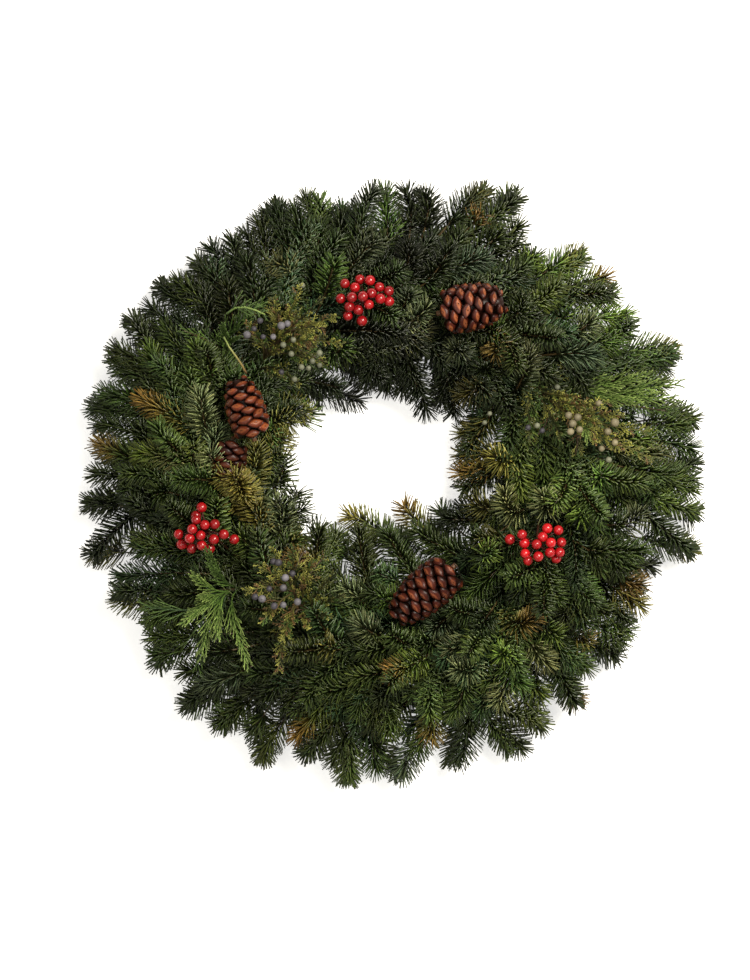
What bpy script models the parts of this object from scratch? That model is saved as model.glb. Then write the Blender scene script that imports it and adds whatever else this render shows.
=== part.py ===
"""A fresh fir wreath on a 12 inch clamp ring, 24 inches from tip to tip, lying on its back.

Lengths are metres and +Z is up: the wreath's front looks up, and +Y is its top as it would hang.
Places round the ring are clock angles: degrees clockwise from +Y, seen from the front.
Every twig is one closed body. Its core is a three-sided tube, whose side is a lattice of
triangles. A needle is one of those triangles raised to a point, and a side shoot grows out of one.
"""
import math
import random

import bpy
import numpy as np
from mathutils import Vector
from mathutils.bvhtree import BVHTree

MM = 0.001
UP = Vector((0, 0, 1))

# Ring and clamps
RING_RADIUS = 152 * MM
WIRE_RADIUS = 2.0 * MM
RING_STEPS = 42
WIRE_SIDES = 6
CLAMPS = 14
CLAMP_STEP = 360 / CLAMPS
FIRST_CLAMP = -14.0
STRAP = 2.0 * MM
CLAMP_WIDTH = 23 * MM
CLAMP_HEIGHT = 16.6 * MM
CLAMP_LENGTH = 12 * MM
CLAMP_CORNER = 3.5 * MM
WELD = 0.3 * MM
WIRE_HEIGHT = STRAP + WIRE_RADIUS - WELD

# Places of the stems in a clamp: offset from the ring's radius, and height of the core
SLOTS = {
    "outer": (7.2 * MM, 8.0 * MM),
    "inner": (-7.2 * MM, 8.0 * MM),
    "front": (2.4 * MM, 12.2 * MM),
    "berry": (-2.4 * MM, 8.0 * MM),
    "fan": (7.2 * MM, 12.2 * MM),
}
STEM_TAIL = 14 * MM
STEM_GATE = 9 * MM
STEM_RADIUS = 1.7 * MM
STEM_SWEEP = 0.42

# Fir
NEEDLE = 24 * MM
NEEDLE_ROOT = 2.4 * MM
SHOOT_RADIUS = 1.6 * MM
FORK_RADIUS = 3.0 * MM
END_RADIUS = 1.0 * MM
END_NEEDLE = 14 * MM
PITCH = 10.1 * MM
TIP_CROWDING = 0.22
NEEDLE_LEAN = 52.0
END_LEAN = 26.0
NEEDLE_LIFT = 0.22
NEEDLE_LENGTHS = (1.0, 0.8, 0.62, 0.45, 0.3)
NEEDLE_GAP = 0.5 * MM
FLOOR_GAP = 1.0 * MM

# Tips that make the outline: clock angle in degrees and reach in millimetres, three to a bunch
OUTER_TIPS = (
    (7.7, 280), (19.6, 299), (25.6, 306), (34.5, 266), (42.5, 292), (51.0, 290), (58.5, 287),
    (67.2, 311), (80.0, 311), (88.0, 310), (96.8, 312), (104.1, 313), (108.9, 283), (114.6, 279),
    (121.4, 283), (128.0, 290), (133.8, 276), (140.4, 297), (148.4, 292), (155.8, 301),
    (166.7, 294), (177.6, 298), (186.5, 306), (195.3, 290), (203.1, 307), (212.6, 297),
    (220.8, 301), (229.9, 295), (237.3, 279), (246.3, 290), (254.6, 301), (264.4, 296),
    (274.7, 282), (283.6, 296), (292.8, 294), (301.4, 293), (310.1, 289), (318.8, 283),
    (327.4, 279), (337.6, 288), (346.6, 281), (358.0, 284),
)
OUTER_HEIGHTS = ((32, 18, 44), (40, 26, 54), (28, 44, 17), (36, 22, 50))
OUTER_FORKS = (0.10, 0.26)
OUTER_BARE = 0.26

# Edge of the hole: clock angle and the reach where the shoot tips stop, in millimetres
HOLE_EDGE = (
    (0, 80), (20, 72), (43, 77), (64, 75), (87, 66), (108, 66), (128, 62), (150, 50), (172, 44),
    (197, 46), (213, 52), (232, 74), (250, 86), (273, 85), (289, 96), (303, 95), (332, 82), (360, 80),
)

# Front sprays: bunch: swing past the clamp in degrees, then millimetres: reach and height of the
# tip, and how far the inward side tip stays inside it
FRONT_TIPS = {
    0: (41, 206, 62, 40), 1: (40, 210, 86, 46), 2: (40, 174, 54, 36), 3: (38, 212, 84, 46),
    4: (42, 202, 90, 46), 5: (40, 190, 92, 46), 6: (38, 200, 90, 46), 7: (42, 194, 82, 46),
    8: (34, 184, 54, 36), 9: (44, 208, 76, 46), 10: (36, 212, 82, 26), 11: (36, 208, 84, 40),
    12: (34, 186, 54, 38), 13: (44, 196, 80, 46),
}
UNDER_JUNIPER = (2, 8, 12)
FRONT_FORKS = (0.24, 0.42)
FRONT_BARE = 0.07

# Inner sprays: swing past the clamp and height of the leader's tip, and the same of the low tip
INNER_SWING = 37
INNER_HEIGHT = 50 * MM
LOW_SWING = 26
LOW_HEIGHT = 26 * MM
LOW_INSET = 6 * MM
INNER_FORK = 0.25
INNER_BARE = 0.07

# Pinecones: places of base and tip and radius, in millimetres, and the clock angle of the wire's hook
CONES = {
    "top_right": ((60, 157, 86), (118, 168, 88), 22.0, 18.0),
    "left": ((-126, 39, 86), (-141, 92, 90), 18.0, 284.0),
    "left_low": ((-146, 28, 66), (-154, -12, 68), 16.0, 278.5),
    "bottom": ((66, -91, 82), (14, -136, 82), 21.0, 149.0),
}
CONE_COLUMNS = 8
CONE_HEART = 0.80
STALK_RADIUS = 2.6 * MM
STALK_LENGTH = 8 * MM
TIE_RADIUS = 0.5 * MM
TIE_GAP = 0.35 * MM

# Berry clusters: centre, half widths and turn of the patch in millimetres and degrees, bunch, seed
CLUSTERS = {
    "top": ((-18, 168, 94), (24, 19), -14, 13, 2),
    "left": ((-171, -54, 91), (27, 17), 8, 9, 1),
    "right": ((146, -67, 94), (26, 17), 4, 4, 8),
}
BERRIES = 16
BERRY_RADIUS = 4.6 * MM
DOME = 13 * MM
PICK_DEPTH = 26 * MM
STALK_END = 0.8 * MM

# Juniper: bunch, swing, reach and height of the leader's tip, side shoots as turn and length
JUNIPERS = {
    "upper_left": (12, 36, 168, 92, ((-62, 52), (58, 56), (-40, 46), (34, 44))),
    "right": (2, 42, 206, 90, ((-64, 50), (60, 52), (-38, 56), (40, 42))),
    "bottom": (8, 33, 132, 90, ((-60, 44), (62, 56), (-44, 48), (38, 46))),
}
JUNIPER_NEEDLE = 7 * MM
JUNIPER_BERRY = 3.4 * MM
JUNIPER_PITCH = 8.5 * MM
JUNIPER_TOP = 94 * MM

# Cedar: bunch, swing, reach and height of the leader's tip, strands as turn and length
CEDARS = {
    "bottom_left": (9, 16, 236, 84, ((-66, 62), (48, 60), (-46, 74), (30, 62))),
    "upper_left": (12, 11, 236, 74, ((-62, 44), (-40, 48), (22, 36))),
    "right": (2, 40, 278, 60, ((-40, 66), (46, 52), (-28, 60))),
}
CEDAR_NEEDLE = 11 * MM
CEDAR_PITCH = 11 * MM

# Finishes: colour, roughness and metallic value
COLOURS = {
    "fir": ((0.035, 0.085, 0.030), 0.55, 0.0),
    "juniper": ((0.110, 0.120, 0.040), 0.65, 0.0),
    "cedar": ((0.120, 0.220, 0.050), 0.60, 0.0),
    "cone": ((0.180, 0.060, 0.025), 0.50, 0.0),
    "berry": ((0.550, 0.012, 0.012), 0.22, 0.0),
    "ring": ((0.030, 0.090, 0.050), 0.35, 0.7),
    "tie": ((0.250, 0.240, 0.220), 0.40, 0.9),
}


def clock(angle, reach, height=0.0):
    """Point at a clock angle, a reach from the ring's centre and a height."""
    a = math.radians(angle)
    return Vector((reach * math.sin(a), reach * math.cos(a), height))


def place(point):
    """Point given in millimetres, in metres."""
    return Vector(point) * MM


def bend(start, control, end, count=40):
    """Points on the quadratic curve from start to end that leaves towards control."""
    steps = [i / count for i in range(count + 1)]
    return [start * (1 - s) ** 2 + control * (2 * s * (1 - s)) + end * (s * s) for s in steps]


def spaced(curve, first, pitch, crowd=TIP_CROWDING):
    """Points on a curve from a fraction of its length to its end, closer together at the tip."""
    lengths = [0.0]
    for a, b in zip(curve, curve[1:]):
        lengths.append(lengths[-1] + (b - a).length)
    total = lengths[-1]
    count = max(2, round(total * (1 - first) / pitch))
    points = []
    for i in range(count + 1):
        s = i / count
        s = s * (1 + crowd) - s * s * crowd
        at = total * (first + (1 - first) * s)
        k = min(len(curve) - 2, max(0, sum(1 for value in lengths if value < at) - 1))
        share = (at - lengths[k]) / (lengths[k + 1] - lengths[k])
        points.append(curve[k].lerp(curve[k + 1], share))
    return points


def edge_of_hole(angle):
    """Reach where the inner shoots stop at a clock angle, in metres."""
    angles, reaches = zip(*HOLE_EDGE)
    return float(np.interp(angle % 360, angles, reaches)) * MM


class Seat:
    """A triangle of a core that may be raised to a needle."""

    def __init__(self, corners, points, centre, along, shoot, to_tip):
        """Notes the triangle's place, the way it looks and how many gaps it is from the tip."""
        self.corners = corners
        self.foot = sum((points[c] for c in corners), Vector()) / 3
        outward = self.foot - centre
        outward -= along * outward.dot(along)
        self.outward = outward.normalized() if outward.length > 1e-7 else along.copy()
        self.along = along
        self.shoot = shoot
        self.to_tip = to_tip
        self.point = None
        self.full = 0.0
        self.direction = None


class Sprig:
    """One closed body: cores joined end to side, with a seat for each needle."""

    shoots = 0

    def __init__(self, name, colour):
        """Starts with no corners."""
        self.name = name
        self.colour = colour
        self.points = []
        self.faces = []
        self.seats = []
        self.cores = []

    def row(self, centre, side, other, radius, turn, corners=3):
        """Adds a ring of corners round a centre, anticlockwise seen from the tip."""
        first = len(self.points)
        for c in range(corners):
            a = turn + c * math.tau / corners
            self.points.append(centre + (side * math.cos(a) + other * math.sin(a)) * radius)
        return tuple(range(first, first + corners))

    def take(self, seat):
        """Frees a seat's triangle so that something else can grow out of it."""
        self.seats.remove(seat)
        return seat.corners

    def grow(self, centres, radii, base=None):
        """Adds a core through the centres and returns its seats, a list for each gap between rows.

        Each row is three corners, turned by 60 degrees from the row before, so a gap holds six
        triangles. Without a base the core starts with a flat cut end.
        """
        Sprig.shoots += 1
        shoot = Sprig.shoots
        start = centres[0]
        if base:
            start = sum((self.points[c] for c in base), Vector()) / 3
            centres = [start] + centres
            radii = [FORK_RADIUS] + radii
        along = (centres[1] - centres[0]).normalized()
        side = along.orthogonal().normalized()
        if base:
            side = self.points[base[0]] - start
            side = (side - along * side.dot(along)).normalized()
            row = base
        else:
            row = self.row(start, side, along.cross(side), radii[0], 0.0)
            self.faces.append((row[0], row[2], row[1]))
        turn = 0.0
        gaps = []
        for i in range(1, len(centres)):
            ahead = centres[min(i + 1, len(centres) - 1)] - centres[i - 1]
            along = ahead.normalized()
            side = (side - along * side.dot(along)).normalized()
            turn += math.radians(60)
            after = self.row(centres[i], side, along.cross(side), radii[i], turn)
            middle = (centres[i - 1] + centres[i]) / 2
            to_tip = len(centres) - 1 - i
            gap = []
            for c in range(3):
                for corners in ((row[c], row[(c + 1) % 3], after[c]), (row[c], after[c], after[c - 1])):
                    gap.append(Seat(corners, self.points, middle, along, shoot, to_tip))
            gaps.append(gap)
            self.seats.extend(gap)
            self.cores.append((centres[i - 1], centres[i], radii[i - 1], radii[i], shoot))
            row = after
        end = Seat(row, self.points, centres[-1], along, shoot, -1)
        self.seats.append(end)
        gaps.append([end])
        return gaps

    def facing(self, gap, direction):
        """The seat of a gap that looks most nearly in a direction."""
        return max(gap, key=lambda seat: seat.outward.dot(direction))

    def ball(self, base, centre, radius):
        """Adds a stalk from a triangle and a ball of two six-sided rings on its end."""
        foot = sum((self.points[c] for c in base), Vector()) / 3
        along = (centre - foot).normalized()
        side = self.points[base[0]] - foot
        side = (side - along * side.dot(along)).normalized()
        other = along.cross(side)
        neck = self.row(centre - along * radius * 0.96, side, other, STALK_END, math.radians(60))
        for c in range(3):
            self.faces.append((base[c], base[(c + 1) % 3], neck[c]))
            self.faces.append((base[c], neck[c], neck[c - 1]))
        low = self.row(centre - along * radius * 0.42, side, other, radius * 0.92, math.radians(60), 6)
        high = self.row(centre + along * radius * 0.46, side, other, radius * 0.90, math.radians(90), 6)
        for c in range(3):
            even = 2 * c
            self.faces.append((neck[c], neck[(c + 1) % 3], low[even + 1]))
            self.faces.append((neck[c], low[even + 1], low[even]))
            self.faces.append((neck[c], low[even], low[even - 1]))
        self.points.append(centre + along * radius)
        crown = len(self.points) - 1
        for c in range(6):
            self.faces.append((low[c], low[(c + 1) % 6], high[c]))
            self.faces.append((low[c], high[c], high[c - 1]))
            self.faces.append((high[c], high[(c + 1) % 6], crown))
        self.cores.append((foot, centre, END_RADIUS, STALK_END, -1))
        self.cores.append((centre, centre + along * MM * 0.1, radius, radius, -1))

    def bulb(self, seat, radius):
        """Raises a seat to a small round berry of two three-sided rings."""
        base = self.take(seat)
        side = self.points[base[0]] - seat.foot
        side = (side - seat.outward * side.dot(seat.outward)).normalized()
        other = seat.outward.cross(side)
        rings = [base]
        for share, wide in ((0.75, 1.0), (1.75, 0.9)):
            centre = seat.foot + seat.outward * radius * share
            rings.append(self.row(centre, side, other, radius * wide, math.radians(60 * len(rings))))
        self.points.append(seat.foot + seat.outward * radius * 2.2)
        for low, high in zip(rings, rings[1:]):
            for c in range(3):
                self.faces.append((low[c], low[(c + 1) % 3], high[c]))
                self.faces.append((low[c], high[c], high[c - 1]))
        for c in range(3):
            self.faces.append((rings[2][c], rings[2][(c + 1) % 3], len(self.points) - 1))
        self.cores.append((seat.foot, seat.foot + seat.outward * radius * 1.6, radius, radius, -1))

    def mesh(self):
        """Corners and faces with each planned needle raised, and the seat that each face is of."""
        points = list(self.points)
        faces = list(self.faces)
        owners = [None] * len(faces)
        for seat in self.seats:
            a, b, c = seat.corners
            if seat.point is None:
                faces.append(seat.corners)
                owners.append(None)
            else:
                points.append(seat.point)
                tip = len(points) - 1
                faces.extend(((a, b, tip), (b, c, tip), (c, a, tip)))
                owners.extend((seat, seat, seat))
        return points, faces, owners


def clamp_angle(bunch):
    """Clock angle of a bunch's clamp."""
    return FIRST_CLAMP + bunch * CLAMP_STEP


def tapered(count):
    """Radii of a shoot's rows from its root to its tip."""
    return [SHOOT_RADIUS + (END_RADIUS - SHOOT_RADIUS) * i / (count - 1) for i in range(count)]


def leader(sprig, bunch, slot, tip, bare, pitch):
    """Grows a leader: straight through its clamp, then on one curve to its tip.

    Returns its curve and its gaps with the bare ones left out.
    """
    offset, height = SLOTS[slot]
    angle = clamp_angle(bunch)
    onward = clock(angle + 90, 1)
    heart = clock(angle, RING_RADIUS + offset, height)
    gate = heart + onward * STEM_GATE
    curve = bend(gate, gate + onward * (tip - gate).length * STEM_SWEEP, tip)
    rows = spaced(curve, bare, pitch)
    radii = [STEM_RADIUS, STEM_RADIUS] + tapered(len(rows))
    gaps = sprig.grow([heart - onward * STEM_TAIL, gate] + rows, radii)
    return curve, gaps[2:]


def side_shoot(sprig, curve, gaps, share, tip, pitch, lean=0.35):
    """Grows a side shoot from the leader's gap at a share of its length, and returns its gaps."""
    gap = gaps[min(len(gaps) - 3, int(share * len(gaps)))]
    root = gap[0].foot - gap[0].outward * SHOOT_RADIUS * 0.5
    away = tip - root
    seat = sprig.facing([seat for seat in gap if seat in sprig.seats], away)
    control = root + seat.along * away.length * lean + seat.outward * away.length * 0.12
    path = bend(seat.foot, control, tip)
    first = min(0.3, 9 * MM / away.length)
    rows = spaced(path, first, pitch)
    return sprig.grow(rows, tapered(len(rows)), base=sprig.take(seat))[1:]


def dress(sprig, gaps, length, lean, tip_lean, lift, flat=None):
    """Plans the needles of a shoot: full length and direction, for the seats that carry one.

    A needle leans forward from the core by the angle lean, less towards the tip, and lift turns
    it towards the front. On a flat shoot only the seats that look along its plane carry one.
    """
    count = len(gaps)
    for i, gap in enumerate(gaps):
        share = i / max(1, count - 1)
        angle = math.radians(lean + (tip_lean - lean) * share ** 2)
        for c, seat in enumerate(gap):
            if seat not in sprig.seats:
                continue
            if seat.to_tip == -1:
                seat.full = min(length, END_NEEDLE)
                seat.direction = seat.along.copy()
                continue
            if flat is None and c % 2 == 1:
                continue
            if flat is not None and abs(seat.outward.dot(seat.along.cross(flat).normalized())) < 0.8:
                continue
            grade = 0.80 + 0.24 * math.sin(math.pi * min(1.0, share + 0.25))
            seat.full = length * grade
            direction = seat.along * math.cos(angle) + seat.outward * math.sin(angle) + UP * lift
            seat.direction = direction.normalized()


def fir_spray(name, bunch, slot, tip, sides, bare):
    """A fir twig: a leader and its side shoots, given as share along the leader and tip."""
    sprig = Sprig(name, "fir")
    curve, gaps = leader(sprig, bunch, slot, tip, bare, PITCH)
    shoots = [gaps]
    for share, end in sides:
        shoots.append(side_shoot(sprig, curve, gaps, share, end, PITCH))
    for shoot in shoots:
        dress(sprig, shoot, NEEDLE, NEEDLE_LEAN, END_LEAN, NEEDLE_LIFT)
    return sprig


def outer_sprays():
    """The sprays that make the outline, each with three tips."""
    sprays = []
    for bunch in range(CLAMPS):
        heights = OUTER_HEIGHTS[bunch % len(OUTER_HEIGHTS)]
        tips = []
        for i, height in ((1, heights[0]), (0, heights[1]), (2, heights[2])):
            angle, reach = OUTER_TIPS[3 * bunch + i]
            tips.append(clock(angle, reach * MM - END_NEEDLE, height * MM))
        sides = ((OUTER_FORKS[0], tips[2]), (OUTER_FORKS[1], tips[1]))
        name = f"fir_outer_{bunch + 1:02d}"
        sprays.append(fir_spray(name, bunch, "outer", tips[0], sides, OUTER_BARE))
    return sprays


def front_sprays():
    """The sprays that cover the face."""
    sprays = []
    for bunch, (swing, reach, height, inside) in FRONT_TIPS.items():
        angle = clamp_angle(bunch) + swing
        tip = clock(angle, reach * MM, height * MM)
        outward = clock(angle - 9, (reach + 36) * MM, (height - 20) * MM)
        inward = clock(angle - 1, (reach - inside) * MM, (height - 12) * MM)
        sides = ((FRONT_FORKS[0], outward), (FRONT_FORKS[1], inward))
        slot = "berry" if bunch in UNDER_JUNIPER else "front"
        name = f"fir_front_{bunch + 1:02d}"
        sprays.append(fir_spray(name, bunch, slot, tip, sides, FRONT_BARE))
    return sprays


def inner_sprays():
    """The sprays that edge the hole, each with two tips."""
    sprays = []
    for bunch in range(CLAMPS):
        angle = clamp_angle(bunch) + INNER_SWING
        tip = clock(angle, edge_of_hole(angle) + END_NEEDLE, INNER_HEIGHT)
        angle = clamp_angle(bunch) + LOW_SWING
        low = clock(angle, edge_of_hole(angle) + END_NEEDLE + LOW_INSET, LOW_HEIGHT)
        name = f"fir_inner_{bunch + 1:02d}"
        sprays.append(fir_spray(name, bunch, "inner", tip, ((INNER_FORK, low),), INNER_BARE))
    return sprays


def side_tip(curve, share, turn, length, drop=0.0):
    """Tip of a side shoot that leaves a curve at a share, turned in plan by an angle."""
    k = int(share * (len(curve) - 1))
    onward = curve[k + 1] - curve[k]
    heading = math.atan2(onward.y, onward.x) - math.radians(turn)
    step = Vector((math.cos(heading), math.sin(heading), 0)) * length
    return curve[k] + step + UP * (0.25 * length - drop)


def juniper_sprays():
    """Bushy scaly twigs with small round berries on their upper side."""
    sprays = []
    for place_name, (bunch, swing, reach, height, sides) in JUNIPERS.items():
        sprig = Sprig(f"juniper_{place_name}", "juniper")
        tip = clock(clamp_angle(bunch) + swing, reach * MM, height * MM)
        curve, gaps = leader(sprig, bunch, "front", tip, 0.34, JUNIPER_PITCH)
        shoots = [gaps]
        for i, (turn, length) in enumerate(sides):
            share = 0.10 + 0.17 * i
            end = side_tip(curve, 0.36 + 0.13 * i, turn, length * MM)
            end.z = min(end.z, JUNIPER_TOP)
            shoots.append(side_shoot(sprig, curve, gaps, share, end, JUNIPER_PITCH))
        for shoot in shoots:
            for gap in shoot[1:-1:2]:
                open_seats = [seat for seat in gap if seat in sprig.seats]
                seat = sprig.facing(open_seats, UP)
                sprig.bulb(seat, JUNIPER_BERRY)
            dress(sprig, shoot, JUNIPER_NEEDLE, 40, 20, 0.0)
        sprays.append(sprig)
    return sprays


def cedar_sprays():
    """Flat fans of long strands with short side twigs in the plane of the fan."""
    sprays = []
    for place_name, (bunch, swing, reach, height, sides) in CEDARS.items():
        sprig = Sprig(f"cedar_{place_name}", "cedar")
        tip = clock(clamp_angle(bunch) + swing, reach * MM, height * MM)
        curve, gaps = leader(sprig, bunch, "fan", tip, 0.36, CEDAR_PITCH)
        shoots = [gaps]
        for i, (turn, length) in enumerate(sides):
            share = 0.08 + 0.19 * i
            end = side_tip(curve, 0.40 + 0.13 * i, turn, length * MM, drop=0.12 * length * MM)
            shoots.append(side_shoot(sprig, curve, gaps, share, end, CEDAR_PITCH, 0.25))
        for shoot in shoots:
            dress(sprig, shoot, CEDAR_NEEDLE, 34, 18, 0.0, flat=UP)
        sprays.append(sprig)
    return sprays


def berry_places(centre, half_widths, turn, seed):
    """Centres of a cluster's berries: golden-angle spacing over an ellipse, pushed apart."""
    draw = random.Random(seed)
    spots = []
    for i in range(BERRIES):
        rho = math.sqrt((i + 0.5) / BERRIES)
        a = i * math.radians(137.508) + math.radians(turn)
        lift = DOME * (1 - rho * rho) + draw.uniform(-1.5, 1.5) * MM
        across, onward = half_widths[0] * MM * rho, half_widths[1] * MM * rho
        spots.append(np.array((across * math.cos(a), onward * math.sin(a), lift)))
    apart = 2 * BERRY_RADIUS + 0.4 * MM
    for _ in range(60):
        for i in range(BERRIES):
            for j in range(i):
                step = spots[i] - spots[j]
                far = float(np.linalg.norm(step))
                if far < apart:
                    push = step / far * (apart - far) * 0.5
                    spots[i] = spots[i] + push
                    spots[j] = spots[j] - push
    return [centre + Vector(spot) - UP * DOME * 0.6 for spot in spots]


def matched(seats, spots, hub):
    """Pairs of seat and spot, both in their order round the stem, matched so the stalks fan out."""
    seats = sorted(seats, key=lambda seat: math.atan2(seat.outward.y, seat.outward.x))
    spots = sorted(spots, key=lambda spot: math.atan2(spot.y - hub.y, spot.x - hub.x))
    count = len(seats)

    def fit(turn):
        """How well the seats look towards their spots after a turn."""
        return sum(seats[(i + turn) % count].outward.dot(spots[i] - hub) for i in range(count))

    best = max(range(count), key=fit)
    return [(seats[(i + best) % count], spots[i]) for i in range(count)]


def berry_clusters():
    """Glossy berries on stalks that fan out of one stem."""
    picks = []
    for place_name, (centre, half_widths, turn, bunch, seed) in CLUSTERS.items():
        pick = Sprig(f"berries_{place_name}", "berry")
        middle = place(centre)
        spots = berry_places(middle, half_widths, turn, seed)
        offset, height = SLOTS["berry"]
        angle = clamp_angle(bunch)
        onward = clock(angle + 90, 1)
        heart = clock(angle, RING_RADIUS + offset, height)
        gate = heart + onward * STEM_GATE
        hub = middle - UP * PICK_DEPTH
        curve = bend(gate, gate + onward * (hub - gate).length * 0.55, hub)
        rows = [heart - onward * STEM_TAIL, gate] + spaced(curve, 0.2, 24 * MM, 0.0)
        rows += [hub + UP * step * MM for step in (6, 12, 18)]
        gaps = pick.grow(rows, [STEM_RADIUS] * len(rows))
        groups = ((gaps[-4], spots[10:16]), (gaps[-3], spots[4:10]), (gaps[-2][::2], spots[1:4]))
        for gap, group in groups:
            for seat, spot in matched(gap, group, hub):
                pick.ball(pick.take(seat), spot, BERRY_RADIUS)
        pick.ball(pick.take(gaps[-1][0]), spots[0], BERRY_RADIUS)
        picks.append(pick)
    return picks


def cone_shape(share):
    """Width of a cone at a share of its length, as a share of its greatest."""
    return math.sqrt(max(0.0, 1 - ((share - 0.36) / 0.69) ** 2))


def pinecone(place_name, base, tip, radius):
    """A stalk and rows of scales: each diamond of the lattice is raised towards the cone's tip."""
    cone = Sprig(f"pinecone_{place_name}", "cone")
    base = place(base)
    tip = place(tip)
    radius *= MM
    along = (tip - base).normalized()
    side = along.orthogonal().normalized()
    other = along.cross(side)
    length = (tip - base).length
    rows = max(6, round(length / (0.30 * radius + 1.6 * MM)))
    stations = [(-STALK_LENGTH, STALK_RADIUS), (0.0, STALK_RADIUS)]
    for i in range(rows):
        share = (i + 0.4) / rows
        stations.append((share * length, radius * CONE_HEART * cone_shape(share)))
    grid = []
    for i, (distance, wide) in enumerate(stations):
        turn = i * math.pi / CONE_COLUMNS
        grid.append(cone.row(base + along * distance, side, other, wide, turn, CONE_COLUMNS))
    n = CONE_COLUMNS
    cone.points.append(base - along * STALK_LENGTH)
    cone.points.append(tip)
    cut, end = len(cone.points) - 2, len(cone.points) - 1
    last = len(grid) - 1
    for j in range(n):
        cone.faces.append((grid[0][(j + 1) % n], grid[0][j], cut))
        cone.faces.append((grid[last][j], grid[last][(j + 1) % n], end))
        for i in (0, 1):
            cone.faces.append((grid[i][j], grid[i][(j + 1) % n], grid[i + 1][j]))
            cone.faces.append((grid[i][j], grid[i + 1][j], grid[i + 1][j - 1]))
        cone.faces.append((grid[2][j], grid[2][(j + 1) % n], grid[3][j]))
        cone.faces.append((grid[last - 1][j], grid[last][j], grid[last][j - 1]))
        for i in range(2, last - 1):
            corners = (grid[i][j], grid[i + 1][j], grid[i + 2][j - 1], grid[i + 1][j - 1])
            share = (0.65 * stations[i + 1][0] + 0.35 * stations[i + 2][0]) / length
            axis_point = base + along * share * length
            middle = (cone.points[corners[1]] + cone.points[corners[3]]) / 2
            out = middle - base
            out = (out - along * out.dot(along)).normalized()
            cone.points.append(axis_point + out * radius * cone_shape(share))
            point = len(cone.points) - 1
            for k in range(4):
                cone.faces.append((corners[k], corners[(k + 1) % 4], point))
    for i in range(5):
        share = (i + 0.5) / 5
        here = base + along * length * share
        wide = radius * cone_shape(share)
        cone.cores.append((here, here + along * MM * 0.1, wide, wide, -1))
    cone.cores.append((base - along * STALK_LENGTH, base, 4.5 * MM, 4.5 * MM, -1))
    return cone


def arc(centre, first, second, radius, start, stop, count):
    """Points on an arc in the plane of two directions, from one angle to another in degrees."""
    points = []
    for i in range(count + 1):
        a = math.radians(start + (stop - start) * i / count)
        points.append(centre + (first * math.cos(a) + second * math.sin(a)) * radius)
    return points


def cone_tie(place_name, base, tip, hook_angle):
    """The wire of a pinecone: a loop round its stalk, a tail down, and a hook round the ring."""
    tie = Sprig(f"cone_wire_{place_name}", "tie")
    base = place(base)
    along = (place(tip) - base).normalized()
    side = (UP - along * UP.dot(along)).normalized()
    other = along.cross(side)
    neck = base - along * STALK_LENGTH * 0.55
    loop = arc(neck, side, other, STALK_RADIUS + TIE_RADIUS + TIE_GAP, -110, 180, 8)
    corner = 360 / RING_STEPS
    hook_angle = round(hook_angle / corner) * corner
    outward = clock(hook_angle, 1)
    wire = clock(hook_angle, RING_RADIUS, WIRE_HEIGHT)
    hook = arc(wire, UP, outward, WIRE_RADIUS + TIE_RADIUS + TIE_GAP, -20, 250, 8)
    path = loop + hook
    tie.grow(path, [TIE_RADIUS] * len(path))
    return tie


def clamp_outline(inset):
    """Corners of a clamp's section, across the ring and up: a flat back and bent-over prongs."""
    half = CLAMP_WIDTH / 2 - inset
    high = CLAMP_HEIGHT - inset
    cut = max(CLAMP_CORNER - inset, 0.8 * MM)
    return [(half, inset), (half, high - cut), (half - cut, high), (cut - half, high),
            (-half, high - cut), (-half, inset)]


def clamp_body(angle):
    """Corners and faces of one clamp: its section's outline and inner outline, run along the ring."""
    across = clock(angle, 1)
    onward = clock(angle + 90, 1)
    heart = clock(angle, RING_RADIUS)
    points = []
    for run in (-CLAMP_LENGTH / 2, CLAMP_LENGTH / 2):
        for inset in (0.0, STRAP):
            for x, z in clamp_outline(inset):
                points.append(heart + onward * run + across * x + UP * z)
    n = len(clamp_outline(0.0))
    faces = []
    for c in range(n):
        d = (c + 1) % n
        faces.append((c, d, 2 * n + d, 2 * n + c))
        faces.append((n + d, n + c, 3 * n + c, 3 * n + d))
        faces.append((d, c, n + c, n + d))
        faces.append((2 * n + c, 2 * n + d, 3 * n + d, 3 * n + c))
    return points, faces


def ring_body():
    """Corners and faces of the ring's wire."""
    points = []
    for i in range(RING_STEPS):
        angle = 360 * i / RING_STEPS
        for c in range(WIRE_SIDES):
            a = math.tau * c / WIRE_SIDES - math.pi / 2
            reach = RING_RADIUS + WIRE_RADIUS * math.cos(a)
            points.append(clock(angle, reach, WIRE_HEIGHT + WIRE_RADIUS * math.sin(a)))
    faces = []
    for i in range(RING_STEPS):
        j = (i + 1) % RING_STEPS
        for c in range(WIRE_SIDES):
            d = (c + 1) % WIRE_SIDES
            faces.append((i * WIRE_SIDES + c, i * WIRE_SIDES + d, j * WIRE_SIDES + d, j * WIRE_SIDES + c))
    return points, faces


def material(name):
    """Principled material of a colour entry."""
    found = bpy.data.materials.get(name)
    if found:
        return found
    colour, roughness, metallic = COLOURS[name]
    made = bpy.data.materials.new(name)
    made.use_nodes = True
    shader = made.node_tree.nodes["Principled BSDF"]
    shader.inputs["Base Color"].default_value = (*colour, 1.0)
    shader.inputs["Roughness"].default_value = roughness
    shader.inputs["Metallic"].default_value = metallic
    return made


def add_object(name, points, faces, colour, parent=None, collection=None):
    """Makes a mesh object in a collection, with its material."""
    mesh = bpy.data.meshes.new(name)
    mesh.from_pydata([tuple(p) for p in points], [], faces)
    mesh.materials.append(material(colour))
    mesh.validate()
    made = bpy.data.objects.new(name, mesh)
    (collection or bpy.context.scene.collection).objects.link(made)
    made.parent = parent
    return made


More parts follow.
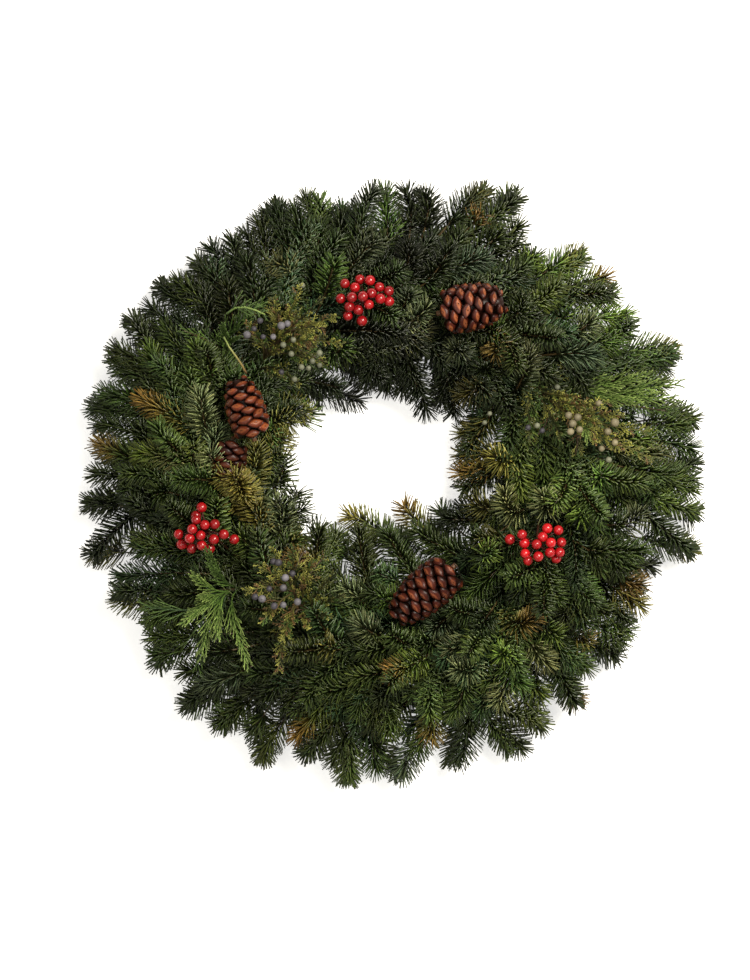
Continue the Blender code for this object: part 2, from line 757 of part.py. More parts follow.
def signed_volume(points, faces):
    """Volume inside a closed surface, positive where its faces look outwards."""
    total = 0.0
    for face in faces:
        for k in range(1, len(face) - 1):
            total += points[face[0]].dot(points[face[k]].cross(points[face[k + 1]])) / 6
    return total


def outward(points, faces):
    """The faces, turned round if they look inwards."""
    if signed_volume(points, faces) < 0:
        return [tuple(reversed(face)) for face in faces]
    return faces


def clamp_ring(parent):
    """The ring with its clamps welded on, joined by one union."""
    clamps = bpy.data.collections.new("clamps")
    bpy.context.scene.collection.children.link(clamps)
    for bunch in range(CLAMPS):
        points, faces = clamp_body(clamp_angle(bunch))
        add_object(f"clamp_{bunch}", points, outward(points, faces), "ring", collection=clamps)
    points, faces = ring_body()
    ring = add_object("clamp_ring", points, outward(points, faces), "ring")
    union = ring.modifiers.new("weld", "BOOLEAN")
    union.operation = "UNION"
    union.operand_type = "COLLECTION"
    union.collection = clamps
    union.solver = "EXACT"
    bpy.context.view_layer.update()
    evaluated = ring.evaluated_get(bpy.context.evaluated_depsgraph_get())
    joined = bpy.data.meshes.new_from_object(evaluated)
    ring.modifiers.clear()
    ring.data = joined
    ring.parent = parent
    for clamp in list(clamps.objects):
        bpy.data.objects.remove(clamp)
    bpy.data.collections.remove(clamps)
    return ring


class Rods:
    """Tapered rods that stand for everything that a needle must stay clear of."""

    def __init__(self, capacity):
        """Makes room for a number of rods."""
        self.start = np.zeros((capacity, 3))
        self.step = np.zeros((capacity, 3))
        self.radii = np.zeros((capacity, 2))
        self.owner = np.zeros(capacity, int)
        self.count = 0

    def add(self, start, end, first_radius, last_radius, owner):
        """Adds one rod of a shoot."""
        self.start[self.count] = start
        self.step[self.count] = end - start
        self.radii[self.count] = first_radius, last_radius
        self.owner[self.count] = owner
        self.count += 1

    def gap(self, start, end, first_radius, last_radius, owner):
        """Least gap between a new rod and those of other shoots."""
        n = self.count
        p = np.array(start)
        d = np.array(end) - p
        steps = self.step[:n]
        between = p - self.start[:n]
        a = float(d @ d)
        e = np.maximum((steps * steps).sum(1), 1e-12)
        f = (steps * between).sum(1)
        b = steps @ d
        c = between @ d
        spread = a * e - b * b
        s = np.clip(np.where(spread > 1e-16, (b * f - c * e) / np.maximum(spread, 1e-16), 0), 0, 1)
        t = np.clip((b * s + f) / e, 0, 1)
        s = np.clip((b * t - c) / a, 0, 1)
        apart = np.linalg.norm(between + d * s[:, None] - steps * t[:, None], axis=1)
        own = first_radius + (last_radius - first_radius) * s
        their = self.radii[:n, 0] + (self.radii[:n, 1] - self.radii[:n, 0]) * t
        gaps = np.where(self.owner[:n] == owner, 1.0, apart - own - their)
        return float(gaps.min())


def raise_needles(sprigs):
    """Gives every planned needle the greatest length that keeps it clear, the tips first."""
    rods = Rods(20000)
    for sprig in sprigs:
        for core in sprig.cores:
            rods.add(*core)
    for bunch in range(CLAMPS):
        heart = clock(clamp_angle(bunch), RING_RADIUS, CLAMP_HEIGHT / 2)
        reach = clock(clamp_angle(bunch), CLAMP_WIDTH / 2)
        rods.add(heart - reach, heart + reach, CLAMP_HEIGHT * 0.62, CLAMP_HEIGHT * 0.62, -2)
    for i in range(RING_STEPS):
        here = clock(360 * i / RING_STEPS, RING_RADIUS, WIRE_HEIGHT)
        there = clock(360 * (i + 1) / RING_STEPS, RING_RADIUS, WIRE_HEIGHT)
        rods.add(here, there, WIRE_RADIUS, WIRE_RADIUS, -2)
    planned = [seat for sprig in sprigs for seat in sprig.seats if seat.full]
    planned.sort(key=lambda seat: seat.to_tip)
    short = 0
    for seat in planned:
        for share in NEEDLE_LENGTHS:
            length = seat.full * share
            direction = seat.direction.copy()
            low = (FLOOR_GAP - seat.foot.z) / length
            if direction.z < low:
                direction.z = low
            if direction.dot(seat.outward) < 0.12 and seat.to_tip >= 0:
                continue
            point = seat.foot + direction * length
            if rods.gap(seat.foot, point, NEEDLE_ROOT, 0.0, seat.shoot) > NEEDLE_GAP:
                seat.point = point
                rods.add(seat.foot, point, NEEDLE_ROOT, 0.0, seat.shoot)
                break
        short += seat.point is None
    print("needles", len(planned), "left out", short)


def face_tree(points, faces, inset):
    """Search tree of faces drawn in by a share, so that neighbours of one body don't touch."""
    corners = []
    for face in faces:
        middle = sum((points[c] for c in face), Vector()) / 3
        corners.extend(points[c].lerp(middle, inset) for c in face)
    return BVHTree.FromPolygons(corners, [(3 * i, 3 * i + 1, 3 * i + 2) for i in range(len(faces))])


def drop_crossing_needles(sprigs):
    """Lays flat every needle that still crosses a face of its own sprig or of another."""
    crossing = True
    while crossing:
        crossing = 0
        meshes = [sprig.mesh() for sprig in sprigs]
        trees = [face_tree(points, faces, 0.0) for points, faces, _ in meshes]
        loose = [face_tree(points, faces, 0.01) for points, faces, _ in meshes]
        for i, first in enumerate(meshes):
            for j in range(i, len(meshes)):
                met = trees[i].overlap(trees[j]) if i < j else loose[i].overlap(loose[i])
                for a, b in met:
                    seat = meshes[j][2][b] or first[2][a]
                    if seat and seat.point is not None:
                        seat.point = None
                        crossing += 1


def main():
    """Clears the scene, models the wreath and centres it over the origin."""
    for old in list(bpy.data.objects):
        bpy.data.objects.remove(old)
    sprigs = outer_sprays() + front_sprays() + inner_sprays()
    sprigs += juniper_sprays() + cedar_sprays() + berry_clusters()
    for place_name, (base, tip, radius, hook_angle) in CONES.items():
        sprigs.append(pinecone(place_name, base, tip, radius))
        sprigs.append(cone_tie(place_name, base, tip, hook_angle))
    raise_needles(sprigs)
    drop_crossing_needles(sprigs)
    meshes = [(sprig, *sprig.mesh()) for sprig in sprigs]
    every = np.array([tuple(point) for _, points, _, _ in meshes for point in points])
    middle = (every.min(0) + every.max(0)) / 2
    wreath = bpy.data.objects.new("wreath", None)
    wreath.location = (-middle[0], -middle[1], 0)
    bpy.context.scene.collection.objects.link(wreath)
    clamp_ring(wreath)
    for sprig, points, faces, _ in meshes:
        add_object(sprig.name, points, faces, sprig.colour, wreath)
    bpy.context.view_layer.update()


if __name__ == "__main__":
    main()
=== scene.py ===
"""Looks of a fresh fir wreath: needled sprays, scaled pinecones, berries, juniper and cedar.

Lengths are metres. Places round the ring are clock angles: degrees clockwise from +Y, seen from the
front. Places read from the photograph are pixels of its frame, and on_wreath turns them into metres.
"""
import math
import random

import bpy
import numpy as np
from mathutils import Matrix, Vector


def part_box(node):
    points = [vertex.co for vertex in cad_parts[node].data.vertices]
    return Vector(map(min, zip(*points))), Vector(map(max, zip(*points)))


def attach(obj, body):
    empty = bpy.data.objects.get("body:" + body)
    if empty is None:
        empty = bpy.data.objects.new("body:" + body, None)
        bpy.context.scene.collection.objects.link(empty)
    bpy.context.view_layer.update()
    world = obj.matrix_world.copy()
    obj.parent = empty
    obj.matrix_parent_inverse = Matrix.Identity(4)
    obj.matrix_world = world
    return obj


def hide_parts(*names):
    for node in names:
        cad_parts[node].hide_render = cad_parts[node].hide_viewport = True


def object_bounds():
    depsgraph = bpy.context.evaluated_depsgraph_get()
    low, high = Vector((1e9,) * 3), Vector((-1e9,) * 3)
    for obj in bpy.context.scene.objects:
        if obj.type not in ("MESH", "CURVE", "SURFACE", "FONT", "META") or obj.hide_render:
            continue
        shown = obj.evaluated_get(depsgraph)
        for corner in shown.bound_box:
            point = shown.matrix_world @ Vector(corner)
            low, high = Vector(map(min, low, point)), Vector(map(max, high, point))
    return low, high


bl_info = {
    "name": "Fir Wreath",
    "version": (1, 0, 0),
    "blender": (4, 5, 0),
    "location": "View3D > Sidebar > Wreath",
    "description": "Dresses the wreath's twigs, cones and berries",
    "category": "Add Mesh",
}

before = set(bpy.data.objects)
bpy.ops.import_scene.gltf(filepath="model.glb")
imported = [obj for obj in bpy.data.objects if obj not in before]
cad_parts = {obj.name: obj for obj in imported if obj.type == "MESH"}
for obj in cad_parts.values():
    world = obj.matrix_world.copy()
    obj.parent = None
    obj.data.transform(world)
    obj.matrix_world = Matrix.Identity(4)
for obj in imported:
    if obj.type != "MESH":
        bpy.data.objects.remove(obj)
CAD_LOW, CAD_HIGH = [np.array(corner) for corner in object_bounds()]
RING_LOW, RING_HIGH = [np.array(corner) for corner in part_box("clamp_ring")]
CENTRE = (RING_LOW + RING_HIGH) / 2 * (1, 1, 0)

MM = 0.001
UP = np.array((0.0, 0.0, 1.0))
GOLDEN = math.radians(137.508)

# The photograph's frame: its size and the ring's centre in pixels, and the length of one pixel
PHOTO_SIZE = (750, 980)
PHOTO_CENTRE = (384, 474)
PIXEL = 0.965 * MM

# The ring and the places of the stems in a clamp, as in the solids
RING_RADIUS = 152 * MM
CLAMPS = 14
CLAMP_STEP = 360 / CLAMPS
FIRST_CLAMP = -14.0
SLOTS = {
    "outer": (7.2 * MM, 8.0 * MM),
    "inner": (-7.2 * MM, 8.0 * MM),
    "front": (2.4 * MM, 12.2 * MM),
    "berry": (-2.4 * MM, 8.0 * MM),
    "fan": (7.2 * MM, 12.2 * MM),
}
STEM_TAIL = 14 * MM
STEM_GATE = 9 * MM
STEM_SWEEP = 0.42

# Tips that make the outline, as in the solids: clock angle and reach in millimetres, three to a bunch
OUTER_TIPS = (
    (7.7, 280), (19.6, 299), (25.6, 306), (34.5, 266), (42.5, 292), (51.0, 290), (58.5, 287),
    (67.2, 311), (80.0, 311), (88.0, 310), (96.8, 312), (104.1, 313), (108.9, 283), (114.6, 279),
    (121.4, 283), (128.0, 290), (133.8, 276), (140.4, 297), (148.4, 292), (155.8, 301),
    (166.7, 294), (177.6, 298), (186.5, 306), (195.3, 290), (203.1, 307), (212.6, 297),
    (220.8, 301), (229.9, 295), (237.3, 279), (246.3, 290), (254.6, 301), (264.4, 296),
    (274.7, 282), (283.6, 296), (292.8, 294), (301.4, 293), (310.1, 289), (318.8, 283),
    (327.4, 279), (337.6, 288), (346.6, 281), (358.0, 284),
)
OUTER_HEIGHTS = ((32, 18, 44), (40, 26, 54), (28, 44, 17), (36, 22, 50))
OUTER_FORKS = (0.10, 0.26)

# Edge of the hole, as in the solids
HOLE_EDGE = (
    (0, 80), (20, 72), (43, 77), (64, 75), (87, 66), (108, 66), (128, 62), (150, 50), (172, 44),
    (197, 46), (213, 52), (232, 74), (250, 86), (273, 85), (289, 96), (303, 95), (332, 82), (360, 80),
)
FRONT_TIPS = {
    0: (41, 206, 62, 40), 1: (40, 210, 86, 46), 2: (40, 174, 54, 36), 3: (38, 212, 84, 46),
    4: (42, 202, 90, 46), 5: (40, 190, 92, 46), 6: (38, 200, 90, 46), 7: (42, 194, 82, 46),
    8: (34, 184, 54, 36), 9: (44, 208, 76, 46), 10: (36, 212, 82, 26), 11: (36, 208, 84, 40),
    12: (34, 186, 54, 38), 13: (44, 196, 80, 46),
}
UNDER_JUNIPER = (2, 8, 12)
FRONT_FORKS = (0.24, 0.42)
INNER_SWING = 37
LOW_SWING = 26

# Shoots that show in the photograph: pixels of where each comes into view and of its tip, its tone,
# and the tone that it turns to at the tip
# The darkest and the brightest fir tones in this table are painted shade and painted light
FACE_SHOOTS = (
    (316, 252, 306, 192, "shaded_fir", None), (287, 256, 276, 201, "shaded_fir", None),
    (275, 266, 257, 215, "shaded_fir", None), (259, 258, 244, 227, "shaded_fir", None),
    (236, 276, 206, 243, "shaded_fir", None), (230, 284, 193, 268, "shaded_fir", None),
    (218, 301, 181, 280, "shaded_fir", None), (197, 313, 157, 284, "shaded_fir", None),
    (206, 301, 171, 278, "fir", None), (173, 333, 124, 319, "shaded_fir", None),
    (181, 325, 144, 305, "shaded_fir", None), (161, 366, 109, 348, "shaded_fir", None),
    (161, 376, 112, 370, "shaded_fir", None), (153, 415, 87, 408, "shaded_fir", None), (148, 401, 97, 393, "fir", None),
    (148, 427, 93, 425, "shaded_fir", None), (142, 462, 93, 441, "fir", "gold"),
    (136, 476, 89, 474, "shaded_fir", None), (165, 386, 146, 341, "fir", "lit_fir"),
    (210, 376, 191, 339, "lit_fir", None), (232, 325, 227, 278, "shaded_fir", None),
    (318, 276, 319, 219, "shaded_fir", None), (326, 297, 337, 255, "lit_fir", None, 6),
    (202, 435, 202, 384, "silver", None), (189, 427, 136, 394, "olive", "gold"),
    (195, 452, 132, 454, "silver", "lit_fir"), (208, 460, 221, 421, "silver", None),
    (232, 476, 171, 480, "lit_fir", None, 16), (389, 237, 384, 180, "lit_fir", None),
    (340, 252, 342, 209, "shaded_fir", None), (363, 246, 361, 205, "fir", None),
    (295, 260, 265, 268, "silver", None), (230, 390, 218, 350, "fir", None),
    (267, 441, 276, 423, "lit_fir", None, 6), (259, 488, 255, 439, "olive", None, 10),
    (289, 488, 281, 450, "fir", None), (306, 425, 314, 401, "lit_fir", None),
    (338, 366, 346, 335, "lit_fir", None), (393, 333, 361, 390, "shaded_fir", None),
    (381, 337, 377, 390, "shaded_fir", None), (330, 390, 367, 403, "shaded_fir", None),
    (348, 266, 381, 237, "silver", None), (357, 284, 393, 260, "shaded_fir", None),
    (259, 301, 244, 252, "shaded_fir", None), (206, 346, 173, 313, "shaded_fir", None),
    (189, 354, 161, 321, "fir", None), (251, 297, 281, 268, "shaded_fir", None),
    (420, 223, 403, 182, "shaded_fir", None), (436, 223, 422, 188, "shaded_fir", None),
    (448, 217, 486, 179, "fir", "olive"), (491, 237, 512, 188, "lit_fir", None),
    (495, 248, 524, 221, "fir", None), (475, 223, 485, 211, "gold", None),
    (446, 268, 493, 258, "silver", None), (526, 266, 534, 250, "lit_fir", None),
    (538, 274, 586, 251, "lit_fir", "olive"), (569, 284, 613, 278, "lit_fir", "gold"),
    (589, 301, 620, 294, "lit_fir", None), (569, 317, 634, 317, "lit_fir", None),
    (626, 346, 679, 350, "lit_fir", "olive"), (620, 362, 673, 368, "shaded_fir", None),
    (544, 309, 552, 280, "lit_fir", None), (499, 284, 528, 270, "shaded_fir", None),
    (589, 339, 626, 343, "lit_fir", None), (512, 419, 532, 343, "blue", "silver"),
    (561, 348, 603, 360, "silver", None), (667, 411, 703, 421, "fir", None),
    (650, 433, 701, 452, "fir", None), (648, 417, 691, 431, "fir", None),
    (599, 488, 601, 468, "lit_fir", None), (650, 484, 700, 478, "fir", None),
    (416, 374, 428, 419, "shaded_fir", None), (452, 374, 438, 409, "shaded_fir", None),
    (487, 390, 452, 397, "olive", None), (507, 339, 487, 360, "gold", None),
    (489, 333, 506, 326, "lit_fir", None), (405, 337, 432, 301, "silver", None),
    (389, 354, 434, 321, "silver", None), (397, 325, 412, 288, "silver", None),
    (393, 297, 397, 264, "shaded_fir", None), (412, 284, 407, 237, "shaded_fir", None),
    (434, 284, 452, 243, "shaded_fir", None), (528, 325, 516, 292, "fir", None),
    (499, 378, 471, 366, "shaded_fir", None), (471, 354, 442, 350, "silver", None),
    (491, 435, 454, 433, "olive", None), (491, 456, 454, 456, "olive", None),
    (483, 476, 452, 472, "gold", None), (507, 472, 487, 448, "olive", None),
    (620, 452, 671, 456, "silver", None), (626, 472, 675, 476, "fir", None),
    (540, 292, 565, 292, "lit_fir", None), (575, 333, 601, 317, "silver", None),
    (609, 325, 634, 331, "lit_fir", None), (116, 507, 81, 504, "shaded_fir", None),
    (122, 547, 85, 556, "olive", None), (177, 570, 113, 578, "blue", None, 8),
    (157, 611, 110, 596, "olive", None), (189, 650, 147, 655, "fir", None),
    (202, 639, 144, 635, "fir", None), (248, 664, 177, 672, "fir", None),
    (242, 680, 195, 684, "silver", None), (222, 700, 179, 707, "fir", None),
    (251, 711, 210, 725, "fir", None), (275, 715, 261, 764, "fir", None), (267, 721, 242, 733, "fir", None),
    (328, 696, 293, 743, "fir", "gold"), (338, 725, 299, 756, "shaded_fir", None),
    (340, 743, 346, 786, "silver", None), (367, 745, 381, 776, "fir", None),
    (167, 486, 151, 500, "lit_fir", None), (183, 515, 158, 527, "silver", None),
    (191, 549, 132, 537, "lit_fir", None), (275, 525, 238, 496, "olive", None),
    (295, 529, 271, 494, "silver", None), (279, 517, 312, 507, "shaded_fir", None),
    (295, 504, 299, 484, "shaded_fir", None), (346, 562, 285, 557, "fir", "gold"),
    (361, 594, 335, 586, "silver", None), (395, 578, 371, 572, "blue", None),
    (395, 602, 377, 598, "lit_fir", None), (395, 527, 340, 514, "fir", "olive"),
    (377, 639, 351, 615, "silver", None), (330, 656, 320, 635, "olive", None),
    (206, 594, 163, 594, "shaded_fir", None, 8), (189, 611, 142, 615, "fir", None, 8),
    (230, 656, 197, 647, "shaded_fir", None, 8), (230, 725, 214, 707, "fir", None),
    (283, 680, 259, 704, "shaded_fir", None), (306, 676, 279, 715, "shaded_fir", None),
    (361, 680, 357, 721, "fir", None), (381, 684, 369, 733, "shaded_fir", None),
    (251, 504, 218, 492, "olive", None), (140, 492, 116, 486, "fir", None),
    (259, 547, 230, 531, "fir", None), (310, 533, 330, 529, "shaded_fir", None),
    (351, 541, 320, 537, "fir", None), (420, 535, 400, 499, "olive", "gold"),
    (452, 529, 436, 504, "fir", None), (507, 527, 503, 484, "silver", None),
    (548, 519, 540, 486, "silver", None), (591, 507, 573, 523, "lit_fir", None),
    (630, 539, 638, 504, "silver", None), (654, 509, 677, 492, "lit_fir", None),
    (648, 539, 699, 551, "fir", "olive"), (685, 511, 705, 519, "shaded_fir", None),
    (620, 586, 648, 584, "gold", None), (614, 594, 648, 609, "olive", None),
    (565, 566, 595, 602, "lit_fir", None), (607, 627, 636, 631, "lit_fir", None),
    (597, 643, 622, 660, "shaded_fir", None), (577, 635, 593, 649, "olive", None),
    (565, 651, 593, 672, "fir", None), (561, 680, 581, 707, "fir", "gold"),
    (526, 684, 548, 702, "fir", None), (516, 707, 548, 730, "fir", None),
    (497, 725, 527, 754, "shaded_fir", None), (481, 725, 453, 766, "shaded_fir", None),
    (416, 745, 397, 782, "silver", None), (507, 562, 463, 600, "lit_fir", None),
    (499, 641, 541, 611, "olive", "gold"), (512, 664, 495, 647, "lit_fir", None),
    (483, 680, 448, 664, "silver", None), (452, 611, 426, 635, "silver", None),
    (426, 664, 381, 672, "lit_fir", "gold"), (450, 692, 414, 702, "fir", None),
    (432, 715, 430, 745, "olive", "gold"), (526, 649, 554, 668, "silver", None),
    (556, 653, 581, 670, "blue", None), (483, 517, 467, 492, "olive", None),
    (499, 547, 473, 535, "olive", None), (446, 562, 422, 545, "fir", None),
    (405, 547, 389, 531, "fir", None), (393, 586, 377, 566, "blue", None),
    (471, 558, 499, 547, "lit_fir", None), (528, 594, 512, 574, "fir", None),
    (540, 574, 561, 607, "lit_fir", None), (585, 558, 609, 547, "fir", None),
    (605, 529, 626, 521, "fir", None), (609, 566, 640, 566, "fir", None),
    (495, 692, 471, 717, "blue", None), (512, 684, 491, 709, "silver", None),
    (473, 684, 446, 721, "fir", None), (540, 635, 565, 635, "lit_fir", None),
    (491, 611, 471, 635, "shaded_fir", None), (434, 647, 412, 635, "fir", None),
    (471, 647, 438, 649, "silver", None), (589, 611, 614, 615, "fir", None),
    (420, 352, 398, 398, "shaded_fir", None), (396, 350, 384, 396, "shaded_fir", None),
    (268, 452, 292, 432, "olive", None), (262, 446, 286, 436, "shaded_fir", None),
    (322, 386, 326, 404, "shaded_fir", None), (284, 546, 304, 532, "fir", None),
    (650, 478, 698, 492, "fir", None), (600, 560, 650, 548, "fir", None), (590, 630, 612, 628, "fir", None),
    (600, 640, 630, 640, "fir", None), (500, 672, 530, 690, "fir", None), (548, 668, 576, 690, "fir", None),
    (345, 735, 330, 768, "shaded_fir", None), (430, 722, 414, 758, "fir", None),
    (620, 380, 668, 386, "fir", None), (385, 700, 389, 742, "fir", None), (165, 538, 124, 544, "fir", None),
    (220, 690, 186, 688, "shaded_fir", None), (285, 250, 264, 208, "shaded_fir", None),
    (305, 245, 292, 203, "shaded_fir", None), (262, 490, 214, 474, "olive", None, 16),
    (258, 500, 226, 468, "olive", "gold", 12), (572, 600, 588, 622, "fir", None),
    (622, 440, 656, 440, "lit_fir", None, -4), (396, 716, 388, 734, "fir", None),
    (690, 480, 672, 470, "fir", None), (670, 500, 640, 488, "fir", None),
    (222, 470, 205, 448, "silver", None, 14), (250, 492, 228, 470, "olive", None, 20),
    (275, 415, 298, 428, "olive", None), (285, 400, 312, 418, "olive", None),
    (290, 545, 306, 527, "olive", None), (345, 560, 352, 540, "fir", None),
    (618, 420, 640, 412, "fir", None), (484, 548, 466, 530, "fir", None),
    (572, 612, 592, 630, "fir", None), (488, 248, 506, 228, "fir", None),
)

# How high the top of the foliage stands over the floor: reach and height in millimetres
CROWN = ((60, 34), (90, 58), (130, 78), (170, 88), (210, 84), (250, 66), (285, 46), (320, 34))

# Which way shoots point: reach in millimetres, and degrees that they turn outwards from the ring's run
FLOW = ((85, -40), (125, -8), (185, 8), (235, 42), (285, 74))

# Where the plain shoots keep low, under cones, berries, juniper and cedar: pixels of centre and radius
CLEARINGS = (
    (473, 308, 40), (245, 408, 36), (236, 466, 32), (424, 592, 44), (364, 300, 36), (207, 530, 38),
    (535, 543, 38), (292, 340, 62), (590, 426, 66), (296, 596, 58), (222, 606, 52), (640, 390, 44),
    (238, 326, 30),
)

# Round areas where the needles are darkened or lightened: partly older and fresher foliage, and partly
# painted shade and painted light for how the light falls there. Pixels of centre and radius, and by how much
AGE_AND_PAINTED_LIGHT_PATCHES = (
    (400, 200, 50, 0.65), (465, 235, 55, 0.48), (525, 318, 38, 0.50), (385, 262, 45, 0.55),
    (400, 385, 62, 0.38), (235, 275, 60, 0.72), (190, 325, 45, 0.75), (140, 528, 55, 0.52),
    (468, 512, 32, 0.48), (450, 600, 48, 0.55), (549, 582, 30, 0.50), (540, 485, 58, 1.65),
    (634, 551, 40, 0.58), (600, 400, 52, 0.70), (235, 670, 55, 0.55), (475, 680, 62, 1.40),
    (205, 415, 55, 1.30), (375, 555, 48, 1.40), (480, 400, 45, 0.65), (600, 628, 32, 0.80),
)

# Needle colours by tone: at the root, at the tip, and on the underside. The darkest and the brightest
# copies of the fir green are painted shade and painted light, and the needles' dark root colour is
# partly painted shade near the stem
TONES = {
    "shaded_fir": ((0.006, 0.011, 0.002), (0.030, 0.044, 0.009), (0.050, 0.062, 0.024)),
    "fir": ((0.009, 0.020, 0.003), (0.058, 0.086, 0.015), (0.092, 0.110, 0.040)),
    "lit_fir": ((0.015, 0.038, 0.005), (0.100, 0.156, 0.024), (0.128, 0.160, 0.052)),
    "silver": ((0.018, 0.028, 0.008), (0.130, 0.152, 0.062), (0.210, 0.222, 0.125)),
    "olive": ((0.026, 0.026, 0.004), (0.142, 0.135, 0.028), (0.155, 0.150, 0.056)),
    "gold": ((0.050, 0.034, 0.007), (0.200, 0.130, 0.030), (0.190, 0.140, 0.046)),
    "blue": ((0.008, 0.022, 0.007), (0.040, 0.074, 0.024), (0.088, 0.112, 0.060)),
    "cedar": ((0.036, 0.084, 0.010), (0.185, 0.245, 0.062), (0.100, 0.150, 0.030)),
    "shaded_cedar": ((0.022, 0.048, 0.008), (0.085, 0.140, 0.028), (0.060, 0.080, 0.020)),
    "juniper": ((0.080, 0.084, 0.012), (0.330, 0.320, 0.070), (0.160, 0.160, 0.045)),
    "shaded_juniper": ((0.028, 0.032, 0.008), (0.130, 0.134, 0.036), (0.070, 0.080, 0.030)),
    "rust": ((0.070, 0.036, 0.012), (0.220, 0.130, 0.050), (0.120, 0.070, 0.030)),
}
BARK = (0.040, 0.026, 0.011)
YOUNG_BARK = (0.075, 0.050, 0.018)

# Pinecones: places of base and tip and radius, in millimetres, as in the solids
CONES = {
    "top_right": ((58, 155, 86), (116, 166, 88), 22.0),
    "left": ((-126, 39, 86), (-141, 92, 90), 18.0),
    "left_low": ((-146, 28, 66), (-154, -12, 68), 16.0),
    "bottom": ((63, -92, 82), (10, -138, 82), 21.0),
}
STALK_LENGTH = 8 * MM
SCALE_RATIO = 0.62

# Scales of each cone
SCALES = {"top_right": 54, "left": 46, "left_low": 38, "bottom": 64}

# Colours of a scale on each cone: its rim, near black as painted shade where it sinks into the gaps,
# its face, its boss, the boss's point, and the boss's size
SCALE_COLOURS = {
    "top_right": (
        (0.009, 0.002, 0.001), (0.046, 0.007, 0.003), (0.200, 0.056, 0.019), (0.030, 0.008, 0.004), 0.74),
    "left": (
        (0.014, 0.004, 0.002), (0.092, 0.017, 0.006), (0.165, 0.044, 0.014), (0.070, 0.020, 0.008), 0.98),
    # A darkened copy of the left cone's colours: painted shade from the foliage over this cone
    "left_low": (
        (0.006, 0.001, 0.001), (0.036, 0.007, 0.003), (0.062, 0.015, 0.006), (0.030, 0.008, 0.004), 0.98),
    "bottom": (
        (0.007, 0.002, 0.001), (0.044, 0.007, 0.003), (0.145, 0.038, 0.014), (0.028, 0.008, 0.004), 0.66),
}

# Stations of a cone's scale, from the core to the point of its boss: depth as a share of the cone's
# radius, width across and along the cone as shares of the scale's, and which of its colours
SCALE_STATIONS = (
    (-0.62, 0.20, 0.24, "core"), (-0.30, 0.46, 0.44, "core"), (-0.10, 0.90, 0.84, "shaded_rim"),
    (-0.01, 1.00, 1.00, "shaded_rim"), (0.065, 0.86, 0.72, "face"), (0.115, 0.72, 0.50, "face"),
    (0.125, 0.64, 0.40, "boss"), (0.175, 0.34, 0.15, "boss"), (0.140, 0.08, 0.06, "point"),
)

# Berry clusters, as in the solids: centre, half widths of the patch, bunch, seed, and how far its red is
# darkened or lightened, as painted shade and painted light
CLUSTERS = {
    "top": ((-18, 168, 94), (24, 19), 13, 2, 0.78),
    "left": ((-171, -54, 91), (27, 17), 9, 1, 0.75),
    "right": ((146, -67, 94), (26, 17), 4, 8, 1.20),
}
# Where each berry of a cluster shows in the photograph, in pixels
BERRY_SPOTS = {
    "top": (
        (341, 300), (345, 285), (355, 289), (360, 281), (370, 282), (352, 299), (363, 298), (372, 295),
        (380, 289), (380, 300), (369, 306), (358, 311), (348, 317), (362, 322), (350, 308), (388, 293),
        (389, 302),
    ),
    "left": (
        (180, 534), (191, 538), (194, 528), (202, 535), (206, 524), (215, 524), (199, 513), (198, 521),
        (183, 544), (193, 548), (203, 545), (215, 539), (225, 534), (235, 539), (211, 548), (201, 510),
    ),
    "right": (
        (509, 539), (521, 535), (523, 542), (524, 553), (527, 560), (536, 543), (537, 556), (542, 536),
        (545, 530), (557, 530), (549, 542), (549, 552), (560, 542), (558, 552), (555, 558),
    ),
}
BERRY_RADIUS = 5.0 * MM
DOME = 13 * MM
PICK_DEPTH = 26 * MM

# Strands of juniper and cedar that show in the photograph besides those of the solids: the share of
# the leader where each leaves it, the pixels of its tip, its height in millimetres, and its tone
JUNIPER_STRANDS = {
    "upper_left": (
        (0.30, 246, 322, 84, "juniper"), (0.34, 263, 343, 90, "shaded_juniper"),
        (0.42, 276, 300, 90, "juniper"), (0.50, 300, 288, 88, "juniper"),
        (0.56, 322, 300, 90, "shaded_juniper"), (0.60, 338, 318, 88, "juniper"),
        (0.50, 343, 345, 86, "juniper"), (0.36, 328, 368, 78, "shaded_juniper"),
        (0.22, 300, 386, 70, "shaded_juniper"), (0.20, 272, 378, 74, "shaded_juniper"),
        (0.40, 316, 342, 94, "juniper"), (0.30, 284, 352, 92, "juniper"),
    ),
    "right": (
        (0.16, 528, 406, 80, "shaded_juniper"), (0.22, 552, 392, 86, "shaded_juniper"),
        (0.34, 577, 396, 90, "juniper"), (0.44, 602, 406, 90, "juniper"),
        (0.60, 624, 416, 86, "juniper"), (0.66, 648, 432, 76, "juniper"),
        (0.60, 650, 460, 72, "juniper"), (0.52, 620, 452, 84, "juniper"),
        (0.40, 594, 444, 90, "juniper"), (0.26, 560, 442, 86, "shaded_juniper"),
        (0.14, 528, 440, 78, "shaded_juniper"), (0.50, 600, 426, 93, "juniper"),
    ),
    "bottom": (
        (0.70, 246, 590, 84, "juniper"), (0.64, 258, 564, 88, "juniper"),
        (0.56, 272, 546, 88, "juniper"), (0.44, 294, 546, 88, "shaded_juniper"),
        (0.32, 314, 558, 86, "juniper"), (0.22, 334, 574, 82, "shaded_juniper"),
        (0.20, 344, 594, 82, "shaded_juniper"), (0.26, 332, 616, 84, "shaded_juniper"),
        (0.34, 308, 628, 86, "juniper"), (0.44, 284, 640, 86, "juniper"),
        (0.48, 278, 672, 82, "juniper"), (0.62, 262, 622, 84, "juniper"),
    ),
}
# Tones that the twigs of a strand are drawn from
JUNIPER_MIX = {
    "juniper": ("juniper", "juniper", "juniper", "shaded_juniper", "rust", "shaded_cedar"),
    "shaded_juniper": ("shaded_juniper", "shaded_juniper", "juniper", "shaded_cedar", "shaded_fir"),
}
